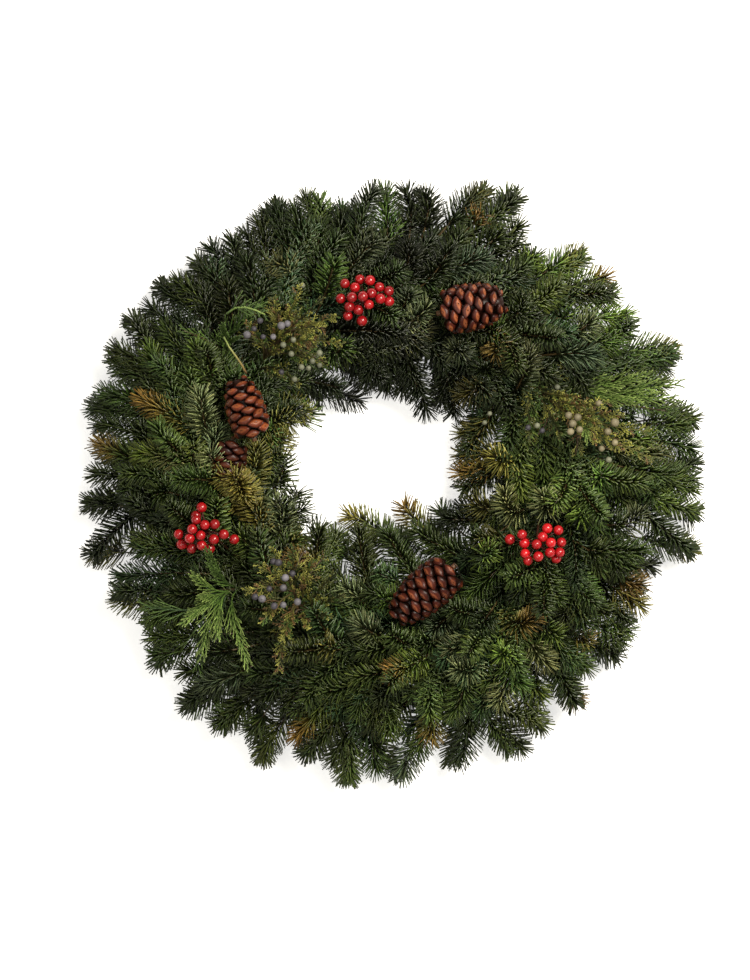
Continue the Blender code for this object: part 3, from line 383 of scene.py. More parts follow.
# Juniper berries: pixels, height and radius in millimetres, and which bloom
JUNIPER_BERRIES = {
    "upper_left": (
        (248, 336, 95, 3.8, "lilac"), (261, 322, 93, 3.0, "plum"), (282, 327, 98, 3.9, "lilac"),
        (288, 325, 96, 3.3, "lilac"), (274, 338, 98, 2.9, "lilac"), (264, 338, 95, 2.6, "plum"),
        (294, 341, 97, 2.8, "grey"), (284, 346, 97, 3.0, "grey"), (292, 355, 96, 2.9, "grey"),
        (320, 354, 93, 3.1, "grey"), (313, 362, 93, 2.9, "grey"), (302, 368, 91, 3.0, "grey"),
        (309, 369, 92, 2.6, "grey"), (320, 366, 91, 2.7, "grey"), (282, 373, 89, 2.8, "plum"),
        (295, 380, 87, 2.9, "grey"), (303, 287, 91, 2.8, "grey"), (255, 330, 92, 2.7, "plum"),
    ),
    "right": (
        (556, 388, 92, 2.8, "grey"), (567, 416, 96, 3.6, "tan"), (576, 418, 97, 3.8, "tan"),
        (571, 424, 97, 3.9, "tan"), (578, 430, 96, 3.4, "tan"), (569, 432, 95, 3.6, "tan"),
        (613, 423, 92, 4.2, "tan"), (606, 432, 92, 3.5, "tan"), (597, 404, 93, 3.2, "tan"),
        (613, 443, 89, 3.2, "tan"), (607, 460, 86, 3.1, "grey"), (600, 449, 88, 3.0, "tan"),
        (527, 428, 86, 2.9, "plum"), (536, 426, 87, 2.9, "grey"), (541, 431, 87, 2.8, "plum"),
        (489, 414, 76, 2.4, "grey"), (484, 423, 74, 2.4, "grey"),
    ),
    "bottom": (
        (279, 562, 96, 3.6, "plum"), (286, 577, 98, 3.7, "lilac"), (284, 587, 97, 3.4, "lilac"),
        (293, 573, 95, 3.2, "plum"), (263, 598, 96, 3.8, "lilac"), (256, 596, 94, 3.4, "plum"),
        (275, 605, 96, 3.5, "plum"), (284, 604, 97, 3.2, "lilac"), (298, 601, 95, 3.6, "lilac"),
        (274, 561, 94, 3.2, "plum"), (270, 588, 92, 3.0, "plum"),
    ),
}
BLOOM = {
    "lilac": (0.120, 0.112, 0.125), "grey": (0.125, 0.130, 0.085), "tan": (0.170, 0.145, 0.085),
    "plum": (0.040, 0.036, 0.044),
}
JUNIPER_LIFT = 8
CEDAR_STRANDS = {
    "bottom_left": (
        (0.40, 184, 622, 92, "cedar"), (0.42, 194, 574, 94, "cedar"), (0.46, 200, 596, 92, "cedar"),
        (0.38, 203, 655, 90, "cedar"), (0.40, 219, 636, 93, "cedar"), (0.30, 249, 662, 90, "cedar"),
        (0.30, 209, 549, 92, "shaded_cedar"), (0.28, 212, 563, 93, "shaded_cedar"),
    ),
    "upper_left": (
        (0.34, 224, 326, 90, "shaded_cedar"), (0.44, 262, 304, 90, "shaded_cedar"),
        (0.38, 240, 338, 92, "shaded_cedar"), (0.36, 231, 346, 90, "shaded_cedar"),
    ),
    "right": (
        (0.40, 677, 384, 66, "cedar"), (0.36, 672, 399, 68, "cedar"), (0.34, 644, 376, 76, "cedar"),
        (0.30, 640, 404, 80, "cedar"), (0.30, 586, 439, 92, "cedar"),
    ),
}

# Curled stems of cedar: two ends and two controls, as pixels and height, and tone
CEDAR_CURLS = {
    "upper_left": (
        (((247, 374, 84), (240, 358, 97), (229, 350, 98), (225, 338, 94)), "rust"),
        (((228, 315, 92), (238, 304, 98), (250, 308, 98), (266, 316, 96)), "shaded_cedar"),
    ),
}

# Juniper and cedar, as in the solids: bunch, swing, reach and height of the leader's tip, side shoots
JUNIPERS = {
    "upper_left": (12, 36, 168, 92, ((-62, 52), (58, 56), (-40, 46), (34, 44))),
    "right": (2, 42, 206, 90, ((-64, 50), (60, 52), (-38, 56), (40, 42))),
    "bottom": (8, 33, 132, 90, ((-60, 44), (62, 56), (-44, 48), (38, 46))),
}
CEDARS = {
    "bottom_left": (9, 16, 236, 84, ((-66, 62), (48, 60), (-46, 74), (30, 62))),
    "upper_left": (12, 11, 236, 74, ((-62, 44), (-40, 48), (22, 36))),
    "right": (2, 40, 278, 60, ((-40, 66), (46, 52), (-28, 60))),
}


class WreathSettings(bpy.types.PropertyGroup):
    """Sizes and colours of the wreath's dressing."""

    needle_length: bpy.props.FloatProperty(
        name="Needle Length", description="Length of a fir needle at the middle of its shoot",
        default=20.0 * MM, min=0.005, max=0.05, subtype="DISTANCE", unit="LENGTH")
    needle_width: bpy.props.FloatProperty(
        name="Needle Width", description="Width of a fir needle's blade",
        default=1.25 * MM, min=0.0005, max=0.004, subtype="DISTANCE", unit="LENGTH")
    needles_per_metre: bpy.props.FloatProperty(
        name="Needles per Metre", description="Fir needles along one metre of shoot",
        default=2750.0, min=200.0, max=6000.0)
    berry_colour: bpy.props.FloatVectorProperty(
        name="Berry Colour", description="Colour of the red berries",
        default=(0.370, 0.004, 0.007), min=0.0, max=1.0, size=3, subtype="COLOR")
    floor_colour: bpy.props.FloatVectorProperty(
        name="Floor Colour", description="Colour of the plain floor",
        default=(0.90, 0.90, 0.90), min=0.0, max=1.0, size=3, subtype="COLOR")


def settings():
    """The scene's wreath settings."""
    return bpy.context.scene.wreath_settings


def place(point):
    """Point given in millimetres, in metres."""
    return np.array(point, float) * MM


def clock(angle, reach, height=0.0):
    """Point at a clock angle, a reach from the ring's centre and a height."""
    a = math.radians(angle)
    return np.array((reach * math.sin(a), reach * math.cos(a), height))


def on_wreath(px, py):
    """Place in plan, from the ring's centre, of a pixel of the photograph."""
    return np.array(((px - PHOTO_CENTRE[0]) * PIXEL, (PHOTO_CENTRE[1] - py) * PIXEL))


def clamp_angle(bunch):
    """Clock angle of a bunch's clamp."""
    return FIRST_CLAMP + bunch * CLAMP_STEP


def edge_of_hole(angle):
    """Reach where the inner shoots stop at a clock angle."""
    angles, reaches = zip(*HOLE_EDGE)
    return float(np.interp(angle % 360, angles, reaches)) * MM


def crown(x, y):
    """Height of the foliage's top over a place in plan, from the table of reaches."""
    reaches, heights = zip(*CROWN)
    return float(np.interp(math.hypot(x, y) / MM, reaches, heights)) * MM


def clearing(x, y):
    """How far plain shoots stay down at a place in plan, so that what lies over them shows."""
    down = 0.0
    for px, py, wide in CLEARINGS:
        middle = on_wreath(px, py)
        away = math.hypot(x - middle[0], y - middle[1]) / (wide * PIXEL)
        down = max(down, 22 * MM * min(1.0, max(0.0, 1.5 - away) * 2))
    return down


def age_and_painted_light(x, y):
    """How light the foliage is at a place in plan: one, moved towards each patch's own near it."""
    light = 1.0
    # Each patch darkens or lightens the needles, partly for the foliage's age and partly as painted shade and
    # painted light
    for px, py, wide, strength in AGE_AND_PAINTED_LIGHT_PATCHES:
        middle = on_wreath(px, py)
        away = math.hypot(x - middle[0], y - middle[1]) / (wide * PIXEL)
        light *= 1 + (strength - 1) * min(1.0, max(0.0, 1.4 - away) * 2)
    return light


def bend(start, control, end, count=24):
    """Points on the curve (1 - s)^2 start + 2 s (1 - s) control + s^2 end."""
    s = np.linspace(0, 1, count + 1)[:, None]
    return start * (1 - s) ** 2 + control * (2 * s * (1 - s)) + end * s ** 2


def unit(vectors):
    """Vectors of length one."""
    lengths = np.linalg.norm(vectors, axis=-1, keepdims=True)
    return vectors / np.maximum(lengths, 1e-9)


def path_length(path):
    """Length of a path through its points."""
    return float(np.linalg.norm(np.diff(path, axis=0), axis=1).sum())


def walk(path, shares):
    """Points and directions at shares of a path's length, straight between its points."""
    steps = np.diff(path, axis=0)
    lengths = np.linalg.norm(steps, axis=1)
    ends = np.concatenate(((0.0,), np.cumsum(lengths)))
    at = np.clip(shares, 0, 1) * ends[-1]
    k = np.clip(np.searchsorted(ends, at, side="right") - 1, 0, len(steps) - 1)
    inside = (at - ends[k]) / lengths[k]
    points = path[k] + steps[k] * inside[:, None]
    joints = unit(np.vstack((steps[:1], steps[:-1] + steps[1:], steps[-1:])))
    return points, unit(joints[k] * (1 - inside)[:, None] + joints[k + 1] * inside[:, None])


def cross_frame(along):
    """Two directions square to each direction: the upper side, as near +Z as can be, and its side."""
    lift = UP - along * along[..., 2:3]
    level = np.linalg.norm(lift, axis=-1, keepdims=True) < 0.05
    lift = unit(np.where(level, np.array((0.0, 1.0, 0.0)) - along * along[..., 1:2], lift))
    return lift, np.cross(along, lift)


def rolled(along, roll):
    """Two directions square to each needle: across its flat side and out of its keel, both rolled."""
    lift, side = cross_frame(along)
    c, s = np.cos(roll)[:, None], np.sin(roll)[:, None]
    return side * -c + lift * s, side * -s - lift * c


class Growth:
    """Corners, faces and colours of one piece, gathered shoot by shoot."""

    def __init__(self):
        """Starts with nothing grown."""
        self.points = []
        self.faces = []
        self.colours = []
        self.count = 0

    def add(self, points, faces, colours):
        """Takes in corners, faces that number them from nought, and a colour for each corner."""
        self.points.append(points)
        self.faces.append(faces + self.count)
        self.colours.append(colours)
        self.count += len(points)

    def tube(self, path, radii, colour, sides=5, rows=None, end_colour=None):
        """A closed round rod: rings of corners square to the path, with a point at either end."""
        rows = rows or max(3, int(path_length(path) / (9 * MM)))
        shares = np.linspace(0, 1, rows + 1)
        centres, along = walk(path, shares)
        lift, side = cross_frame(along)
        a = np.arange(sides) * math.tau / sides
        wide = np.interp(shares, np.linspace(0, 1, len(radii)), radii)[:, None, None]
        ring = lift[:, None] * np.cos(a)[:, None] + side[:, None] * np.sin(a)[:, None]
        points = (centres[:, None] + ring * wide).reshape(-1, 3)
        low = np.arange(rows)[:, None] * sides + np.arange(sides)
        turned = np.arange(rows)[:, None] * sides + (np.arange(sides) + 1) % sides
        walls = np.stack((low, low + sides, turned + sides, turned), -1).reshape(-1, 4)
        faces = np.vstack((walls[:, (0, 1, 2)], walls[:, (0, 2, 3)]))
        last = rows * sides
        n = len(points)
        c = np.arange(sides)
        d = (c + 1) % sides
        root = np.stack((c, d, np.full(sides, n)), -1)
        tip = np.stack((last + d, last + c, np.full(sides, n + 1)), -1)
        points = np.vstack((points, centres[:1], centres[-1:]))
        mix = np.concatenate((np.repeat(shares, sides), (0.0, 1.0)))[:, None]
        shade = np.array(colour) * (1 - mix) + np.array(end_colour or colour) * mix
        self.add(points, np.vstack((faces, root, tip)), shade)

    def balls(self, centres, radii, colours, navel, rng, rows=8, columns=12):
        """Closed balls: rings of corners between two poles, one of them darkened, turned at random."""
        lat = np.linspace(0, math.pi, rows + 1)[1:-1]
        lon = np.arange(columns) * math.tau / columns
        ring = np.stack((
            np.sin(lat)[:, None] * np.cos(lon), np.sin(lat)[:, None] * np.sin(lon),
            np.broadcast_to(np.cos(lat)[:, None], (len(lat), columns))), -1).reshape(-1, 3)
        sphere = np.vstack((ring, (0, 0, 1), (0, 0, -1)))
        top, bottom = len(ring), len(ring) + 1
        c = np.arange(columns)
        d = (c + 1) % columns
        faces = [np.stack((np.full(columns, top), c, d), -1)]
        for r in range(len(lat) - 1):
            low, high = (r + 1) * columns, r * columns
            faces += [np.stack((high + c, low + c, low + d), -1), np.stack((high + c, low + d, high + d), -1)]
        last = (len(lat) - 1) * columns
        faces.append(np.stack((last + c, np.full(columns, bottom), last + d), -1))
        faces = np.vstack(faces)
        n = len(centres)
        turns = np.linalg.qr(rng.normal(size=(n, 3, 3)))[0]
        turns[:, :, 0] *= np.sign(np.linalg.det(turns))[:, None]
        points = centres[:, None] + sphere @ turns.transpose(0, 2, 1) * np.asarray(radii)[:, None, None]
        faces = np.arange(n)[:, None, None] * len(sphere) + faces
        shades = np.repeat(np.asarray(colours)[:, None], len(sphere), 1)
        shades[:, top] *= navel
        self.add(points.reshape(-1, 3), faces.reshape(-1, 3), shades.reshape(-1, 3))

    def blades(self, roots, first, second, length, width, roll, colours):
        """Bent needles with blunt ends.

        The first half of each runs in its first direction and the rest in its second. The flat
        upper side is two corners wide, the keel below is the third corner, and both end in an edge.
        """
        side, keel = rolled(first, roll)
        bend_at = roots + first * length[:, None] * 0.52
        tips = bend_at + second * length[:, None] * 0.48
        half = side * width[:, None] * 0.5
        depth = keel * width[:, None] * 0.42
        corners = np.stack((
            roots + half * 0.7, roots - half * 0.7, roots + depth * 0.7,
            bend_at + half, bend_at - half, bend_at + depth, tips + half * 0.6, tips - half * 0.6), 1)
        pattern = np.array((
            (0, 1, 2), (0, 4, 1), (0, 3, 4), (1, 5, 2), (1, 4, 5), (2, 3, 0), (2, 5, 3),
            (3, 6, 7), (3, 7, 4), (4, 7, 5), (3, 5, 6), (5, 7, 6)))
        faces = (np.arange(len(roots))[:, None, None] * 8 + pattern).reshape(-1, 3)
        self.add(corners.reshape(-1, 3), faces, colours.reshape(-1, 3))

    def spikes(self, roots, way, length, width, roll, colours):
        """Straight needles with blunt ends: three corners at the root and an edge at the tip."""
        side, keel = rolled(way, roll)
        tips = roots + way * length[:, None]
        half = side * width[:, None] * 0.5
        corners = np.stack((
            roots + half, roots - half, roots + keel * width[:, None] * 0.45,
            tips + half * 0.7, tips - half * 0.7), 1)
        pattern = np.array(((0, 1, 2), (0, 3, 4), (0, 4, 1), (1, 4, 2), (0, 2, 3), (2, 4, 3)))
        faces = (np.arange(len(roots))[:, None, None] * 5 + pattern).reshape(-1, 3)
        self.add(corners.reshape(-1, 3), faces, colours[:, (0, 1, 2, 6, 7)].reshape(-1, 3))


def blade_colours(tone, share, rng):
    """Colours of needles' corners: root and tip of a tone, its underside on the keel, at random depth."""
    root, tip, under = (np.array(colour) for colour in TONES[tone])
    n = len(share)
    depth = np.exp(rng.normal(0, 0.30, n))[:, None]
    warm = 1 + rng.normal(0, 0.08, n)[:, None] * np.array((1.0, 0.2, -0.5))
    # The dark root colour is partly painted shade where the needle meets the stem
    root = root * depth * warm
    tip = tip * depth * warm
    middle = root * 0.45 + tip * 0.55
    below = under * depth * 0.8
    return np.stack((root, root, root * 1.3, middle, middle, below, tip, tip), 1)


def needles(growth, path, tone, rng, first=0.25, long=None, density=1.0, end_tone=None, broad=None):
    """Dresses a shoot with needles.

    They leave the stem at golden-angle steps on its top and sides, lean forward, and bend up and
    forward past half their length. At the shoot's end they close round its bud, and those on top
    lie over the stem. Those of a shoot that is given a breadth are that much broader, and straight.
    """
    long = long or settings().needle_length
    reach = path_length(path) * (1 - first)
    n = int(reach * settings().needles_per_metre * density)
    share = (np.arange(n) + rng.uniform(0, 1, n)) / n
    share = 1 - (1 - share) ** 1.25
    points, along = walk(path, first + (1 - first) * share)
    lift, side = cross_frame(along)
    turn = ((np.arange(n) * GOLDEN + math.pi) % math.tau - math.pi) * 0.76 + rng.normal(0, 0.12, n)
    out = lift * np.cos(turn)[:, None] + side * np.sin(turn)[:, None]
    closing = np.clip((share - 0.84) / 0.16, 0, 1) ** 1.5 * rng.uniform(0.35, 1, n)
    over = np.cos(turn).clip(0, 1) ** 2
    lean = np.radians(65 - 50 * closing - 22 * over * (1 - closing) + rng.normal(0, 4, n))
    later = np.radians(51 - 38 * closing - 16 * over * (1 - closing) + rng.normal(0, 5, n))
    first_way = unit(along * np.cos(lean)[:, None] + out * np.sin(lean)[:, None] + lift * 0.06)
    second_way = unit(along * np.cos(later)[:, None] + out * np.sin(later)[:, None] + lift * 0.22)
    grade = (0.80 + 0.24 * np.sin(math.pi * np.clip(share + 0.20, 0, 1))) * rng.uniform(0.90, 1.05, n)
    length = long * grade * (1 - 0.16 * closing)
    width = settings().needle_width * rng.uniform(0.85, 1.15, n) * (broad or 1.0)
    roots = points + out * 0.7 * MM
    colours = blade_colours(tone, share, rng)
    if end_tone:
        mix = np.clip((share - 0.45) / 0.4, 0, 1)[:, None, None]
        colours = colours * (1 - mix) + blade_colours(end_tone, share, rng) * mix
    warm = rng.normal(0, 0.08)
    # Painted shade and painted light of the patches, partly standing for the foliage's age, times a random
    # tone per shoot
    light = math.exp(rng.normal(0, 0.15)) * age_and_painted_light(path[-1][0], path[-1][1])
    colours = colours * light * np.array((1 + warm, 1, 1 - warm))
    roll = rng.normal(0, 0.40, n)
    bent = (np.abs(turn) < 1.35) & (not broad)
    rest = ~bent
    growth.blades(roots[bent], first_way[bent], second_way[bent], length[bent], width[bent], roll[bent],
                  colours[bent])
    growth.spikes(roots[rest], unit(first_way + second_way)[rest], length[rest], width[rest],
                  roll[rest], colours[rest])


def shoot(growth, path, tone, rng, first=0.25, long=None, density=1.0, end_tone=None, broad=None):
    """One fir shoot: its stem, which tapers to the tip, and its needles."""
    rows = max(4, int(path_length(path) / (14 * MM)))
    growth.tube(path, (1.6 * MM, 1.1 * MM, 0.6 * MM), BARK, 3 if broad else 5, rows, YOUNG_BARK)
    needles(growth, path, tone, rng, first, long, density, end_tone, broad)


def gate_of(bunch, slot):
    """Where a stem leaves its clamp, and the way it leaves."""
    offset, height = SLOTS[slot]
    angle = clamp_angle(bunch)
    onward = clock(angle + 90, 1)
    return clock(angle, RING_RADIUS + offset, height) + onward * STEM_GATE, onward


def leader_path(bunch, slot, tip):
    """A leader's path from the clamp to its tip, with its cut end on the clamp's other side."""
    gate, onward = gate_of(bunch, slot)
    far = float(np.linalg.norm(tip - gate))
    curve = bend(gate, gate + onward * far * STEM_SWEEP, tip, 30)
    return np.vstack((gate - onward * (STEM_TAIL + STEM_GATE), curve)), curve


def side_path(curve, share, tip, lean=0.35):
    """A side shoot's path: it leaves a curve at a share, along it at first, and bends to its tip."""
    (root,), (along,) = walk(curve, np.array((share,)))
    away = float(np.linalg.norm(tip - root))
    return bend(root, root + along * away * lean, tip)


def cubic(start, first, second, end, count=30):
    """Points on the curve with two controls: (1-s)^3, 3s(1-s)^2, 3s^2(1-s) and s^3 of the four."""
    s = np.linspace(0, 1, count + 1)[:, None]
    return (start * (1 - s) ** 3 + first * 3 * s * (1 - s) ** 2
            + second * 3 * s ** 2 * (1 - s) + end * s ** 3)


def surface_twig(growth, bunch, slot, root, tip, tone, rng, end_tone=None, density=1.0, broad=None):
    """A twig from its clamp that comes into view at its root and runs straight on to its tip."""
    seen = float(np.linalg.norm(tip - root))
    ahead = unit(tip - root)
    gate, onward = gate_of(bunch, slot)
    far = float(np.linalg.norm(tip - gate))
    path = cubic(gate, gate + onward * far * 0.3, root - ahead * seen * 0.25, tip)
    first = max(0.05, 1 - 1.15 * seen / path_length(path))
    shoot(growth, path, tone, rng, first, density=density, end_tone=end_tone, broad=broad)


def face_shoot(growth, bunch, slot, row, rng):
    """A shoot of the table, at the height of the foliage's top."""
    root = np.array((*on_wreath(row[0], row[1]), 0))
    tip = np.array((*on_wreath(row[2], row[3]), 0))
    lift = (row[6] if len(row) > 6 else 0) * MM + rng.uniform(-10, 2) * MM
    flat = float(np.linalg.norm(tip - root))
    root[2] = crown(root[0], root[1]) - 17 * MM + lift - max(0, 26 * MM - flat)
    root[2] = root[2] - 0.6 * clearing(root[0], root[1])
    tip[2] = crown(tip[0], tip[1]) - 6 * MM + lift - 0.6 * clearing(tip[0], tip[1])
    tip = tip - unit(tip - root) * 9 * MM
    tip = np.clip(tip, CAD_LOW - CENTRE + 13 * MM, CAD_HIGH - CENTRE - 13 * MM)
    surface_twig(growth, bunch, slot, root, tip, row[4], rng, row[5])


def face_rows():
    """The table's rows by layer and bunch: a row goes to the clamp a little behind its root."""
    layers = {"outer": {}, "front": {}, "inner": {}}
    for row in FACE_SHOOTS:
        root, tip = on_wreath(row[0], row[1]), on_wreath(row[2], row[3])
        reach = math.hypot(*tip)
        layer = "outer" if reach > 235 * MM else "inner" if reach < 105 * MM else "front"
        angle = math.degrees(math.atan2(root[0], root[1]))
        bunch = round((angle - 26 - FIRST_CLAMP) / CLAMP_STEP) % CLAMPS
        layers[layer].setdefault(bunch, []).append(row)
    return layers


def filler_shoots(growth, bunch, slot, rng, count, near, far, under, depth, density=0.6, broad=1.3):
    """Plain shoots below the face: roots and tips drawn over a stretch of the ring.

    Between the reaches near and far each lies between two depths under the foliage's top, and
    points along the ring, turned outwards more the further out it is.
    """
    reaches, outward = zip(*FLOW)
    for i in range(count):
        angle = clamp_angle(bunch) + 16 + 40 * (i + rng.uniform(0, 1)) / count
        reach = near + (far - near) * ((i * 0.618 + rng.uniform(0, 0.25)) % 1)
        turn = math.radians(90 - np.interp(reach, reaches, outward) + rng.normal(0, 12))
        radial = clock(angle, 1)
        heading = radial * math.cos(turn) + clock(angle + 90, 1) * math.sin(turn)
        long = rng.uniform(46, 66) * MM
        tip = clock(angle, reach * MM)
        root = tip - heading * long
        down = (under + (depth - under) * rng.uniform(0, 1)) * MM
        tip[2] = max(14 * MM, crown(tip[0], tip[1]) - down - clearing(tip[0], tip[1]))
        root[2] = max(8 * MM, tip[2] - 16 * MM)
        # Mostly the darkest fir tone: painted shade on the shoots under the face
        tone = ("shaded_fir", "shaded_fir", "fir", "blue")[int(rng.integers(4))]
        surface_twig(growth, bunch, slot, root, tip, tone, rng, density=density, broad=broad)


def make_material(name, build):
    """A node material made once and then shared."""
    found = bpy.data.materials.get(name)
    if found:
        return found
    made = bpy.data.materials.new(name)
    made.use_nodes = True
    nodes, links = made.node_tree.nodes, made.node_tree.links
    build(nodes, links, nodes["Principled BSDF"])
    return made


def add_node(nodes, kind, **values):
    """A shader node with its properties and, by socket name, its inputs set."""
    made = nodes.new(kind)
    for name, value in values.items():
        if hasattr(made, name):
            setattr(made, name, value)
        else:
            made.inputs[name.replace("_", " ")].default_value = value
    return made


def needle_finish(nodes, links, shader):
    """Waxy needles: the piece's own colours under fine dark and light flecks, and a low gloss."""
    tint = add_node(nodes, "ShaderNodeAttribute", attribute_name="tint")
    coords = add_node(nodes, "ShaderNodeTexCoord")
    fleck = add_node(nodes, "ShaderNodeTexNoise", Scale=190.0, Detail=2.0)
    links.new(coords.outputs["Object"], fleck.inputs["Vector"])
    level = add_node(nodes, "ShaderNodeMapRange", To_Min=0.72, To_Max=1.30)
    links.new(fleck.outputs["Fac"], level.inputs["Value"])
    mix = add_node(nodes, "ShaderNodeVectorMath", operation="SCALE")
    links.new(tint.outputs["Color"], mix.inputs[0])
    links.new(level.outputs["Result"], mix.inputs["Scale"])
    links.new(mix.outputs["Vector"], shader.inputs["Base Color"])
    shader.inputs["Roughness"].default_value = 0.38
    shader.inputs["Specular IOR Level"].default_value = 0.45


def make_piece(name, growth, finish, nodes_replaced, smooth=False):
    """A mesh object of what has grown, inside the solids' box, that rides on the root."""
    points = np.vstack(growth.points) + CENTRE
    points = np.clip(points, CAD_LOW + 0.2 * MM, CAD_HIGH - 0.2 * MM)
    faces = np.vstack(growth.faces).astype(np.int32)
    mesh = bpy.data.meshes.new(name)
    mesh.vertices.add(len(points))
    mesh.vertices.foreach_set("co", points.astype(np.float32).ravel())
    mesh.loops.add(faces.size)
    mesh.loops.foreach_set("vertex_index", faces.ravel())
    mesh.polygons.add(len(faces))
    mesh.polygons.foreach_set("loop_start", np.arange(len(faces), dtype=np.int32) * 3)
    mesh.update(calc_edges=True)
    colours = np.ones((len(points), 4), np.float32)
    colours[:, :3] = np.vstack(growth.colours)
    tint = mesh.color_attributes.new("tint", "FLOAT_COLOR", "POINT")
    tint.data.foreach_set("color", colours.ravel())
    if smooth:
        mesh.shade_smooth()
    mesh.materials.append(finish)
    made = bpy.data.objects.new(name, mesh)
    bpy.context.scene.collection.objects.link(made)
    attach(made, "root")
    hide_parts(*nodes_replaced)
    return made


def fir_finish():
    """The needles' material."""
    return make_material("fir_needles", needle_finish)


def scaly_twig(growth, path, thick, tone, light=1.0, rows=4, sides=4):
    """A cord of scale leaves: a rod that swells and narrows with each whorl, paler to its tip."""
    swell = 1 + 0.28 * np.cos(np.arange(rows + 1) * math.pi)
    taper = np.linspace(1.0, 0.45, rows + 1)
    root, tip, _ = TONES[tone]
    growth.tube(path, tuple(thick * swell * taper), tuple(light * c for c in root), sides, rows,
                tuple(light * c for c in tip))


def turned(vector, angle):
    """A direction turned in plan, clockwise seen from above."""
    c, s = math.cos(-angle), math.sin(-angle)
    return np.array((vector[0] * c - vector[1] * s, vector[0] * s + vector[1] * c, vector[2]))


def side_tip(curve, share, turn, length, drop=0.0):
    """Tip of a side shoot that leaves a curve at a share, turned in plan by an angle."""
    k = int(share * (len(curve) - 1))
    step = curve[k + 1] - curve[k]
    heading = turned(unit(step * (1, 1, 0)), math.radians(turn))
    return curve[k] + heading * length + UP * (0.25 * length - drop)


def branchlets(growth, path, first, spacing, longest, angle, spread, tones, rng, thick, wild=0.2, sub=6):
    """Twigs on either side of a path, shorter towards its tip, each with side twigs of its own."""
    count = max(2, int(path_length(path) * (1 - first) / spacing))
    for i in range(count):
        share = first + (1 - first) * (i + rng.uniform(0.2, 0.8)) / count
        (root,), (along,) = walk(path, np.array((share,)))
        side = 1 if i % 2 else -1
        heading = turned(along, side * math.radians(angle * rng.uniform(1 - spread, 1 + spread)))
        heading = unit(heading + UP * (wild * 0.5 + rng.normal(0, wild)))
        long = longest * (1.08 - 0.72 * ((share - first) / (1 - first))) * rng.uniform(0.7, 1.15)
        tip = root + heading * long + along * long * 0.18
        twig = bend(root, root + heading * long * 0.5, tip, 6)
        tone = tones[int(rng.integers(len(tones)))]
        light = math.exp(rng.normal(0, 0.22))
        scaly_twig(growth, twig, thick, tone, light, 6)
        for j in range(sub):
            place_on = 0.25 + 0.65 * (j + rng.uniform(0, 0.5)) / sub
            (knot,), (onward,) = walk(twig, np.array((place_on,)))
            swing = angle * rng.uniform(1 - spread, 1 + spread)
            away = turned(onward, (1 if j % 2 else -1) * math.radians(swing))
            away = unit(away + UP * (wild * 0.5 + rng.normal(0, wild)))
            short = long * (0.55 - 0.34 * place_on) * rng.uniform(0.8, 1.3)
            path_on = bend(knot, knot + away * short * 0.5, knot + away * short, 3)
            scaly_twig(growth, path_on, thick * 0.85, tone, light, 3, 3)


def berry_places(centre, half_widths, pixels, seed):
    """Centres of a cluster's berries: on a dome over their places in the photograph, pushed apart."""
    draw = random.Random(seed)
    spots = []
    for px, py in pixels:
        across, onward = on_wreath(px, py) - centre[:2]
        rho = min(1.0, math.hypot(across / half_widths[0], onward / half_widths[1]) / MM)
        lift = DOME * (1 - rho * rho) + draw.uniform(-4.5, 4.5) * MM
        spots.append(np.array((across, onward, lift)))
    apart = 1.96 * BERRY_RADIUS
    for _ in range(60):
        for i in range(len(spots)):
            for j in range(i):
                step = spots[i] - spots[j]
                far = float(np.linalg.norm(step))
                if far < apart:
                    push = step / far * (apart - far) * 0.5
                    spots[i] = spots[i] + push
                    spots[j] = spots[j] - push
    return [centre + spot - UP * DOME * 0.6 for spot in spots]


def cone_shape(share):
    """Width of a cone at a share of its length, as a share of its greatest."""
    return np.sqrt(np.maximum(0.0, 1 - ((share - 0.36) / 0.69) ** 2))


